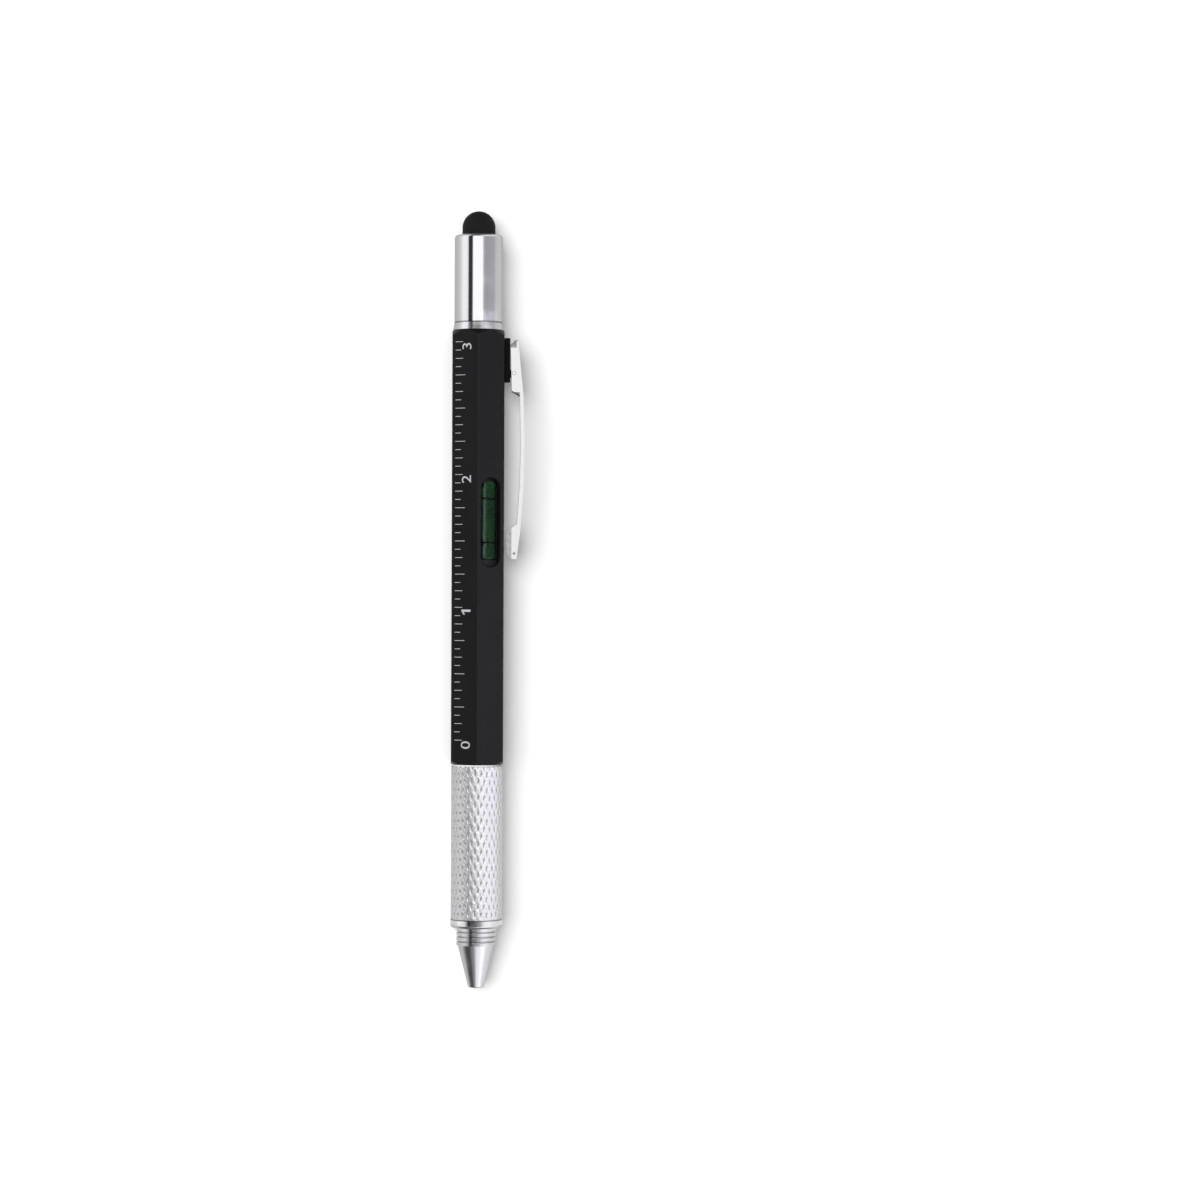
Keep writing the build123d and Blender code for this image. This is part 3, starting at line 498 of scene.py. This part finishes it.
def turned_nose():
    """Turned and plated metal, with painted shade in the three grooves of the collar."""
    return material(
        "Turned nose metal", colours().chrome, (0.07, 0.16), metallic=1.0, lines=(0.08 * MM, 0.0003 * MM),
        smudge=3 * MM, scratches=0.2, uneven=0.03,
        shades=[shaded((0.42, 0.42, 0.43), COLLAR_START, COLLAR_END - 0.1 * MM, 3.76 * MM)],
    )


def turned_insert():
    """Turned and plated metal, with painted shade in the seam under the cap."""
    return material(
        "Turned insert metal", colours().chrome, (0.06, 0.14), metallic=1.0, lines=(0.08 * MM, 0.0006 * MM),
        smudge=3 * MM, scratches=0.2, uneven=0.03,
        shades=[shaded((0.36, 0.36, 0.37), CAP_RIM - 0.35 * MM, CAP_RIM + 0.17 * MM)],
    )


def aluminium():
    return material(
        "Turned aluminium", (0.78, 0.78, 0.79), (0.22, 0.36), metallic=1.0, lines=(0.10 * MM, 0.0016 * MM),
        uneven=0.05,
    )


def spring_steel():
    return material(
        "Spring steel", (0.55, 0.55, 0.56), (0.24, 0.40), metallic=1.0, grain=(0.08 * MM, 0.0010 * MM),
        uneven=0.08,
    )


def hard_steel():
    return material(
        "Hardened steel", (0.30, 0.30, 0.31), (0.22, 0.36), metallic=1.0, grain=(0.07 * MM, 0.0016 * MM),
        scratches=0.8, wear=(0.12 * MM, 0.8, (0.62, 0.62, 0.63)), uneven=0.14,
    )


def refill_metal():
    return material(
        "Refill metal", (0.72, 0.70, 0.66), (0.18, 0.30), metallic=1.0, lines=(0.09 * MM, 0.0010 * MM),
        uneven=0.05,
    )


def black_plastic():
    return material(
        "Moulded black plastic", (0.016, 0.016, 0.017), (0.34, 0.52), grain=(0.12 * MM, 0.0020 * MM),
        uneven=0.15, Specular_IOR_Level=0.4,
    )


def white_plastic():
    return material(
        "Moulded white plastic", (0.72, 0.72, 0.70), (0.32, 0.46), grain=(0.12 * MM, 0.0012 * MM),
        uneven=0.04,
    )


def rubber():
    return material(
        "Conductive rubber", colours().rubber, (0.50, 0.68), grain=(0.10 * MM, 0.0035 * MM), scratches=0.05,
        uneven=0.18, Specular_IOR_Level=0.18,
    )


def acrylic():
    return material(
        "Clear acrylic", (0.97, 0.98, 0.97), (0.01, 0.05), grain=(0.5 * MM, 0.0002 * MM), scratches=0.1,
        uneven=0.01, Transmission_Weight=1.0, IOR=1.49, Specular_IOR_Level=0.3,
    )


def line_black():
    return material(
        "Black level line", (0.006, 0.006, 0.006), (0.5, 0.7), grain=(0.10 * MM, 0.0010 * MM), scratches=0.05,
        uneven=0.2, Specular_IOR_Level=0.05,
    )


def dyed_liquid():
    return material(
        "Dyed level liquid", colours().liquid, (0.06, 0.14), smudge=3 * MM, scratches=0.0, uneven=0.16,
        Transmission_Weight=0.7, IOR=1.1, Specular_IOR_Level=0.1,
    )


def trapped_air():
    return material(
        "Air in the level", (0.82, 0.95, 0.84), (0.01, 0.04), smudge=1 * MM, scratches=0.0, uneven=0.03,
        Transmission_Weight=1.0, IOR=0.75,
    )


def printed_ink():
    return material(
        "Ruler ink", colours().ink, (0.42, 0.60), grain=(0.10 * MM, 0.0020 * MM), smudge=0.8 * MM,
        scratches=0.4, uneven=0.12,
    )


def ball_ink():
    return material("Ball pen ink", (0.006, 0.008, 0.03), (0.10, 0.22), smudge=1 * MM, uneven=0.2)


# Shapes


def finish_node(name, finish):
    """Gives a CAD node its detailed finish."""
    slots = NODES[name].data.materials
    slots.clear()
    slots.append(finish)


def piece(name, bm, finish, body, replaces=(), bends_to=None):
    """Turns a bmesh, drawn in place, into a piece that moves with its body. With bends_to, the piece is only
    fixed where it stands and isn't attached to a body; the body and two points in bends_to are not used."""
    mesh = bpy.data.meshes.new(name)
    bm.to_mesh(mesh)
    bm.free()
    mesh.materials.append(finish)
    made = bpy.data.objects.new(name, mesh)
    bpy.context.scene.collection.objects.link(made)
    if bends_to:
        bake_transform(made)
    else:
        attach(made, body)
    if replaces:
        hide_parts(*replaces)
    return made


def copy_of(node):
    """A bmesh of a CAD node in which neighbouring faces share their points."""
    bm = bmesh.new()
    bm.from_mesh(NODES[node].data)
    bmesh.ops.remove_doubles(bm, verts=bm.verts, dist=WELD)
    return bm


def thicken(bm, faces, offset):
    """Raises flat faces by offset, leaving their foot where it was."""
    top = bmesh.ops.extrude_face_region(bm, geom=faces)["geom"]
    bmesh.ops.translate(bm, vec=offset, verts=[v for v in top if isinstance(v, bmesh.types.BMVert)])


def on_ruler(along, across):
    """A point on the ruler's flat: along the pen, and across from the barrel's outer edge."""
    corner = AXIS.z / math.cos(math.radians(30))
    return Vector((along, -corner, AXIS.z)) + UP_LEFT_FLAT * across


def ring(bm, along, radius, count, height):
    """Points round a line along X at that height. The radius may be a function of the turn from the top."""
    points = []
    for k in range(count):
        turn = 2 * math.pi * k / count
        out = radius(turn) if callable(radius) else radius
        points.append(bm.verts.new((along, out * math.sin(turn), height + out * math.cos(turn))))
    return points


def skin(bm, rings):
    """Smooth faces from each ring to the next. A ring of one point is an end."""
    for a, b in zip(rings, rings[1:]):
        count = max(len(a), len(b))
        for k in range(count):
            n = (k + 1) % count
            corners = [a[k % len(a)], a[n % len(a)], b[n % len(b)], b[k % len(b)]]
            face = bm.faces.new(dict.fromkeys(corners))
            face.smooth = True
    bmesh.ops.recalc_face_normals(bm, faces=bm.faces)


# Operators


class PEN_OT_barrel(bpy.types.Operator):
    """Anodise the barrel, and blacken its clip bracket, darker still as painted shade from the hood"""

    bl_idname = "multi_tool_pen.barrel"
    bl_label = "Barrel"

    def execute(self, context):
        finish_node("barrel", anodised())
        finish_node("clip_bracket", bracket_black())
        return {"FINISHED"}


class PEN_OT_ruler(bpy.types.Operator):
    """Print the three inch ruler on the left flat"""

    bl_idname = "multi_tool_pen.ruler"
    bl_label = "Ruler"

    inches = 3
    parts = 16

    def execute(self, context):
        zero = sizes().ruler_zero
        lines = bmesh.new()
        for k in range(self.inches * self.parts + 1):
            self.add_line(lines, zero - k * INCH / self.parts, self.reach(k))
        bmesh.ops.recalc_face_normals(lines, faces=lines.faces)
        self.print_on("ruler_lines", lines)

        figures = bmesh.new()
        for inch in range(self.inches + 1):
            self.add_figure(figures, str(inch), zero - inch * INCH)
        self.print_on("ruler_figures", figures)
        return {"FINISHED"}

    def reach(self, k):
        """Length of the line at k sixteenths. An inch's own line is short, to leave room for its figure."""
        size = sizes()
        if k % self.parts == 0:
            return size.eighth
        if k % 4 == 0:
            return size.quarter
        return size.eighth if k % 2 == 0 else size.sixteenth

    @staticmethod
    def add_line(bm, centre, reach):
        size = sizes()
        low, high = centre - size.tick_width / 2, centre + size.tick_width / 2
        start, end = size.tick_start, size.tick_start + reach
        corners = [(low, end), (low, start), (high, start), (high, end)]
        bm.faces.new([bm.verts.new(on_ruler(along, across)) for along, across in corners])

    def add_figure(self, bm, text, tick):
        """One figure on the nib side of its line, with its head towards the lines."""
        size = sizes()
        mesh = self.flagged_one() if text == "1" else self.plain_figure(text)
        xs = [v.co.x for v in mesh.vertices]
        ys = [v.co.y for v in mesh.vertices]
        if not xs:
            raise RuntimeError("the ruler's figure " + text + " came out empty")
        scale = size.figure_height / (max(ys) - min(ys))
        middle = (max(xs) + min(xs)) / 2
        for vertex in mesh.vertices:
            along = tick + size.figure_place - (vertex.co.x - middle) * scale * size.figure_stretch
            across = size.figure_foot - (vertex.co.y - min(ys)) * scale
            vertex.co = on_ruler(along, across)
        bm.from_mesh(mesh)
        bpy.data.meshes.remove(mesh)

    @staticmethod
    def print_on(name, bm):
        """Makes a thin printed piece of flat faces drawn on the ruler's flat."""
        thicken(bm, bm.faces[:], TO_LEFT_FLAT * sizes().print_height)
        bmesh.ops.recalc_face_normals(bm, faces=bm.faces)
        piece(name, bm, printed_ink(), "barrel")

    @staticmethod
    def plain_figure(text):
        """A figure in Blender's plain font, as a flat mesh."""
        curve = bpy.data.curves.new("figure " + text, "FONT")
        curve.body = text
        curve.resolution_u = 6
        letter = bpy.data.objects.new("figure " + text, curve)
        bpy.context.scene.collection.objects.link(letter)
        bpy.context.view_layer.update()
        mesh = bpy.data.meshes.new_from_object(letter.evaluated_get(bpy.context.evaluated_depsgraph_get()))
        bpy.data.objects.remove(letter)
        bpy.data.curves.remove(curve)
        return mesh

    @staticmethod
    def flagged_one():
        """A plain stroke one high with a slanted flag, because the font's own 1 is too wide."""
        corners = [(0.26, 0), (0.26, 1), (0.14, 1), (-0.16, 0.78), (-0.16, 0.60), (0.07, 0.76), (0.07, 0)]
        mesh = bpy.data.meshes.new("figure 1")
        mesh.from_pydata([(x, y, 0) for x, y in corners], [], [range(len(corners))])
        return mesh


class PEN_OT_cap(bpy.types.Operator):
    """Plate the cap, and finish the stylus on it"""

    bl_idname = "multi_tool_pen.cap"
    bl_label = "Cap and stylus"

    def execute(self, context):
        finish_node("cap_sleeve", chrome())
        finish_node("stylus_tip", rubber())
        finish_node("stylus_plug", white_plastic())
        return {"FINISHED"}


class PEN_OT_screwdriver(bpy.types.Operator):
    """Finish the bit, its holder, its magnet and the cap's ring"""

    bl_idname = "multi_tool_pen.screwdriver"
    bl_label = "Screwdriver"

    def execute(self, context):
        finish_node("top_insert", turned_insert())
        finish_node("screwdriver_bit", hard_steel())
        finish_node("bit_magnet", spring_steel())
        finish_node("cap_o_ring", rubber())
        return {"FINISHED"}


class PEN_OT_clip(bpy.types.Operator):
    """Plate the pocket clip, and finish its pin and spring"""

    bl_idname = "multi_tool_pen.clip"
    bl_label = "Pocket clip"

    sharp_angle = math.radians(50)
    hole_reach = 0.6 * MM
    hole_edge = 0.2 * MM
    hood_margin = 0.6 * MM
    facing_end = 0.6
    short_step = 0.5 * MM
    leaf_cuts = 5

    def execute(self, context):
        self.round_clip()
        self.bend_spring()
        finish_node("clip_pin", clip_metal())
        return {"FINISHED"}

    def bend_spring(self):
        """The leaf spring, cut into short lengths."""
        low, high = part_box("clip_spring")
        middle = (low + high) / 2
        bm = copy_of("clip_spring")
        long_edges = [e for e in bm.edges if abs(e.verts[0].co.x - e.verts[1].co.x) > self.short_step]
        bmesh.ops.subdivide_edges(bm, edges=long_edges, cuts=self.leaf_cuts, use_grid_fill=True)
        seat = Vector((high.x, middle.y, middle.z))
        tip = Vector((low.x, middle.y, middle.z))
        piece(
            "leaf_spring", bm, spring_steel(), "barrel", ["clip_spring"],
            bends_to=("clip", seat, tip),
        )

    def round_clip(self):
        """The pressed clip with its cut edges rounded, as tumbling leaves them, most at the hood's ends."""
        bm = copy_of("clip")
        bmesh.ops.dissolve_limit(
            bm, angle_limit=math.radians(2), use_dissolve_boundaries=False, verts=bm.verts, edges=bm.edges
        )
        pin = sum(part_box("clip_pin"), Vector()) / 2
        for hood_ends_only, radius in ((True, sizes().hood_rounding), (False, sizes().clip_rounding)):
            cut = [edge for edge in bm.edges if self.is_cut(edge, pin.x)]
            if hood_ends_only:
                cut = [edge for edge in cut if self.ends_hood(edge)]
            bmesh.ops.bevel(
                bm, geom=cut, offset=radius, offset_type="OFFSET", segments=3, profile=0.5,
                affect="EDGES", clamp_overlap=True,
            )
        for face in bm.faces:
            face.smooth = True
        made = piece("pocket_clip", bm, clip_metal(), "clip", ["clip"])
        made.data.set_sharp_from_angle(angle=math.radians(40))
        even = made.modifiers.new("Flat faces stay flat", "WEIGHTED_NORMAL")
        even.weight = 90
        even.keep_sharp = True

    def is_cut(self, edge, pin_place):
        """Whether an edge is sharp. Short edges near the pin, the rims of its holes, don't count."""
        if len(edge.link_faces) != 2 or edge.calc_face_angle(0) < self.sharp_angle:
            return False
        middle = (edge.verts[0].co + edge.verts[1].co) / 2
        return abs(middle.x - pin_place) >= self.hole_reach or edge.calc_length() >= self.hole_edge

    def ends_hood(self, edge):
        """Whether an edge of the hood bounds a face that looks along the pen."""
        middle = (edge.verts[0].co + edge.verts[1].co) / 2
        along = max(abs(face.normal.x) for face in edge.link_faces)
        return middle.x < HOOD_END + self.hood_margin and along > self.facing_end


class PEN_OT_grip(bpy.types.Operator):
    """Knurl the grip with staggered pits, and finish the pieces in and around it"""

    bl_idname = "multi_tool_pen.grip"
    bl_label = "Knurled grip"

    chamfer = 0.1 * MM
    points_per_pit = 12
    rings_per_row = 8
    pit_sharpness = 4.2

    def execute(self, context):
        self.knurl()
        finish_node("grip_end_ring", chrome())
        finish_node("grip_washer", white_plastic())
        finish_node("grip_core", aluminium())
        finish_node("grip_retaining_clip", spring_steel())
        finish_node("twist_o_ring", rubber())
        return {"FINISHED"}

    def knurl(self):
        """Staggered rows of shallow pits between two chamfered ends, round a plain bore."""
        size = sizes()
        low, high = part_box("grip_sleeve")
        top = (high.z - low.z) / 2
        count = self.points_per_pit * size.knurl_pits

        def pitted(along):
            """The radius by the turn, at that place along the grip."""
            wave = math.cos(math.pi * (along - low.x - size.first_row) / size.knurl_row)

            def radius(turn):
                hollow = (1 - wave * math.cos(size.knurl_pits * turn)) / 2
                return top - size.knurl_depth * hollow ** self.pit_sharpness

            return radius

        start, span_along = low.x + self.chamfer, high.x - low.x - 2 * self.chamfer
        steps = math.ceil(span_along / (size.knurl_row / self.rings_per_row))
        places = [start + span_along * k / steps for k in range(steps + 1)]
        bm = bmesh.new()
        rings = [ring(bm, low.x, top - self.chamfer / 2, count, AXIS.z)]
        rings += [ring(bm, along, pitted(along), count, AXIS.z) for along in places]
        rings += [ring(bm, high.x, top - self.chamfer, count, AXIS.z)]
        rings += [ring(bm, along, size.grip_bore, count, AXIS.z) for along in (high.x, low.x)]
        skin(bm, rings + rings[:1])
        made = piece("knurled_grip", bm, satin(), "grip", ["grip_sleeve"])
        made.data.set_sharp_from_angle(angle=math.radians(50))


class PEN_OT_nib(bpy.types.Operator):
    """Finish the turned nose cone"""

    bl_idname = "multi_tool_pen.nib"
    bl_label = "Nose cone"

    def execute(self, context):
        finish_node("nib_cone", turned_nose())
        return {"FINISHED"}


class PEN_OT_level(bpy.types.Operator):
    """Fill the spirit level in the barrel's window"""

    bl_idname = "multi_tool_pen.level"
    bl_label = "Spirit level"

    points_round = 64

    def execute(self, context):
        finish_node("vial_tube", acrylic())
        self.fill()
        finish_node("vial_bubble", trapped_air())
        finish_node("vial_line_rings", line_black())
        finish_node("vial_end_plug", black_plastic())
        finish_node("vial_cradle", black_plastic())
        return {"FINISHED"}

    def fill(self):
        """The dye shows right out to the tube's wall and ends, so it is drawn a little into them."""
        size = sizes()
        radius, corner = size.liquid_radius, size.liquid_corner
        low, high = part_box("vial_tube")
        centre = (low + high) / 2
        start, end = low.x + size.tube_end_wall, high.x - size.tube_end_wall
        bend = [
            (corner * (1 - math.cos(turn)), radius - corner * (1 - math.sin(turn)))
            for turn in (0, 0.4, 0.8, 1.2, math.pi / 2)
        ]
        outline = [(start + inset, out) for inset, out in bend]
        outline += [(end - inset, out) for inset, out in reversed(bend)]
        bm = bmesh.new()
        rings = [ring(bm, along, out, self.points_round, centre.z) for along, out in outline]
        tips = [[bm.verts.new((along, centre.y, centre.z))] for along in (start, end)]
        skin(bm, [tips[0], *rings, tips[1]])
        piece("level_liquid", bm, dyed_liquid(), "barrel", ["vial_liquid"])


class PEN_OT_refill(bpy.types.Operator):
    """Finish the refill and its point"""

    bl_idname = "multi_tool_pen.refill"
    bl_label = "Refill"

    def execute(self, context):
        finish_node("refill_tube", refill_metal())
        finish_node("refill_point", refill_metal())
        finish_node("writing_ball", hard_steel())
        finish_node("refill_ink", ball_ink())
        return {"FINISHED"}


class PEN_OT_twist(bpy.types.Operator):
    """Finish the cam and plunger that drive the refill"""

    bl_idname = "multi_tool_pen.twist"
    bl_label = "Twist action"

    def execute(self, context):
        finish_node("cam_sleeve", white_plastic())
        finish_node("refill_plunger", white_plastic())
        finish_node("plunger_pin", spring_steel())
        return {"FINISHED"}


class PEN_OT_stage(bpy.types.Operator):
    """Set the floor, the light and the camera"""

    bl_idname = "multi_tool_pen.stage"
    bl_label = "Stage"

    def execute(self, context):
        stage = context.scene.pen_stage
        self.make_floor(stage)
        self.make_sky(stage)
        self.make_key(stage)
        self.make_camera(stage)
        context.scene.view_settings.view_transform = "Standard"
        return {"FINISHED"}

    def make_floor(self, stage):
        """Matt white paper. Reflections pass through it to the panels round the pen."""
        bm = bmesh.new()
        bmesh.ops.create_grid(bm, x_segments=4, y_segments=4, size=stage.floor_size)
        bmesh.ops.translate(bm, vec=(0, 0, -stage.floor_gap), verts=bm.verts)
        mesh = bpy.data.meshes.new("floor")
        bm.to_mesh(mesh)
        bm.free()
        paper = bpy.data.materials.new("Floor paper")
        paper.use_nodes = True
        tree = paper.node_tree
        surface = tree.nodes["Principled BSDF"]
        surface.inputs["Base Color"].default_value = (0.99, 0.99, 0.99, 1)
        surface.inputs["Roughness"].default_value = 1.0
        surface.inputs["Specular IOR Level"].default_value = 0.0
        glossy = place(tree, "ShaderNodeLightPath").outputs["Is Glossy Ray"]
        clear = place(tree, "ShaderNodeBsdfTransparent").outputs[0]
        shown = place(tree, "ShaderNodeMixShader", {0: glossy, 1: surface.outputs[0], 2: clear}).outputs[0]
        tree.links.new(shown, tree.nodes["Material Output"].inputs["Surface"])
        mesh.materials.append(paper)
        floor = bpy.data.objects.new("floor", mesh)
        bpy.context.scene.collection.objects.link(floor)

    def make_sky(self, stage):
        """White all round for the camera and through glass, softer light on the pen, and grey panels, which
        change along the pen, for what shines."""
        sky = bpy.data.worlds.new("Studio")
        bpy.context.scene.world = sky
        sky.use_nodes = True
        tree = sky.node_tree
        tree.nodes.clear()
        way = place(tree, "ShaderNodeTexCoord").outputs["Generated"]
        split = place(tree, "ShaderNodeSeparateXYZ", {0: way}).outputs
        slant = maths(tree, "MULTIPLY_ADD", split["Y"], -stage.fill_slant * stage.fill, stage.fill)
        white = (1, 1, 1, 1)
        fill, gloss, plain = (
            place(tree, "ShaderNodeBackground", {"Color": shade, "Strength": strength}).outputs[0]
            for shade, strength in ((white, slant), (self.panels(tree, split), 1.0), (white, 1.0))
        )
        rays = place(tree, "ShaderNodeLightPath").outputs
        shown = place(tree, "ShaderNodeMixShader", {0: rays["Is Glossy Ray"], 1: fill, 2: gloss}).outputs[0]
        clear = maths(tree, "MAXIMUM", rays["Is Camera Ray"], rays["Is Transmission Ray"])
        shown = place(tree, "ShaderNodeMixShader", {0: clear, 1: shown, 2: plain}).outputs[0]
        place(tree, "ShaderNodeOutputWorld", {"Surface": shown})

    def panels(self, tree, split):
        """The panels' light by the direction of a ray, dim towards the pen's two ends."""
        across = maths(tree, "ARCTAN2", split["Y"], split["Z"])
        turn = maths(tree, "MULTIPLY_ADD", across, 0.5 / math.pi, 0.5)
        seen = self.bands(tree, turn, OVER_CAP)
        for start, alone, levels in PANEL_SETS:
            share = span(tree, split["X"], start, alone)
            seen = blend(tree, share, seen, self.bands(tree, turn, levels))
        ends = span(tree, maths(tree, "ABSOLUTE", split["X"]), 0.65, 0.92)
        return blend(tree, ends, seen, (0.14, 0.14, 0.15, 1))

    def bands(self, tree, turn, levels):
        """One set of panels as a colour ramp over the turn round the pen."""
        ramp = place(tree, "ShaderNodeValToRGB", {0: turn})
        elements = ramp.color_ramp.elements
        while len(elements) > 1:
            elements.remove(elements[0])
        for k, (degrees, level) in enumerate(levels):
            spot = degrees / 360 + 0.5
            element = elements[0] if k == 0 else elements.new(spot)
            element.position = spot
            cool = self.coolness(degrees, level)
            element.color = (level, level * (1 - 0.4 * cool), level * (1 + cool), 1)
        return ramp.outputs[0]

    @staticmethod
    def coolness(degrees, level):
        """How far a panel leans to blue: the bright ones most, and the greys over the front a little."""
        if 1.2 < level < 2:
            return 0.13
        return 0.04 if 0.1 < level < 0.96 and -115 < degrees < 62 else 0.0

    def make_key(self, stage):
        """A broad lamp from the ruler's side, which what shines doesn't show."""
        lamp = bpy.data.lights.new("Softbox", "SUN")
        lamp.energy = math.pi * stage.key / math.cos(stage.key_tilt)
        lamp.angle = stage.key_spread
        made = bpy.data.objects.new("Softbox", lamp)
        bpy.context.scene.collection.objects.link(made)
        towards = Vector((-stage.key_lean, -math.sin(stage.key_tilt), math.cos(stage.key_tilt)))
        made.rotation_euler = towards.to_track_quat("Z", "Y").to_euler()
        made.visible_glossy = False
        made.visible_transmission = False

    def make_camera(self, stage):
        """The camera faces the barrel's front edge, turned so that the pen stands left of the middle."""
        lens = bpy.data.cameras.new("Camera")
        lens.lens = stage.lens
        lens.sensor_width = 36
        lens.clip_start, lens.clip_end = 0.01, 20
        camera = bpy.data.objects.new("Camera", lens)
        bpy.context.scene.collection.objects.link(camera)
        back = TO_FRONT_EDGE * math.cos(stage.beside) - TO_CLIP * math.sin(stage.beside)
        level_right = TO_CLIP * math.cos(stage.beside) + TO_FRONT_EDGE * math.sin(stage.beside)
        up = TO_CAP * math.cos(stage.roll) - level_right * math.sin(stage.roll)
        right = level_right * math.cos(stage.roll) + TO_CAP * math.sin(stage.roll)
        place_at = Vector((stage.aim, 0, AXIS.z)) + TO_FRONT_EDGE * stage.distance
        turned_as = Matrix((right, up, back)).transposed().to_4x4()
        camera.matrix_world = Matrix.Translation(place_at) @ turned_as
        bpy.context.scene.camera = camera


STEPS = (
    PEN_OT_barrel,
    PEN_OT_ruler,
    PEN_OT_cap,
    PEN_OT_screwdriver,
    PEN_OT_clip,
    PEN_OT_grip,
    PEN_OT_nib,
    PEN_OT_level,
    PEN_OT_refill,
    PEN_OT_twist,
    PEN_OT_stage,
)


class PEN_PT_panel(bpy.types.Panel):
    """The pen's pieces, sizes and colours"""

    bl_idname = "PEN_PT_panel"
    bl_label = "Multi tool pen"
    bl_space_type = "VIEW_3D"
    bl_region_type = "UI"
    bl_category = "Multi tool pen"

    def draw(self, context):
        for step in STEPS:
            self.layout.operator(step.bl_idname)
        for settings in (context.scene.pen_sizes, context.scene.pen_colours, context.scene.pen_stage):
            box = self.layout.box()
            for key in settings.__annotations__:
                box.prop(settings, key)


CLASSES = (PenSizes, PenColours, StageSettings, *STEPS, PEN_PT_panel)


def register():
    for cls in CLASSES:
        bpy.utils.register_class(cls)
    bpy.types.Scene.pen_sizes = PointerProperty(type=PenSizes)
    bpy.types.Scene.pen_colours = PointerProperty(type=PenColours)
    bpy.types.Scene.pen_stage = PointerProperty(type=StageSettings)


def unregister():
    del bpy.types.Scene.pen_stage
    del bpy.types.Scene.pen_colours
    del bpy.types.Scene.pen_sizes
    for cls in reversed(CLASSES):
        bpy.utils.unregister_class(cls)


def build_pen():
    register()
    for step in STEPS:
        prefix, name = step.bl_idname.split(".")
        getattr(getattr(bpy.ops, prefix), name)()


if __name__ == "__main__":
    build_pen()
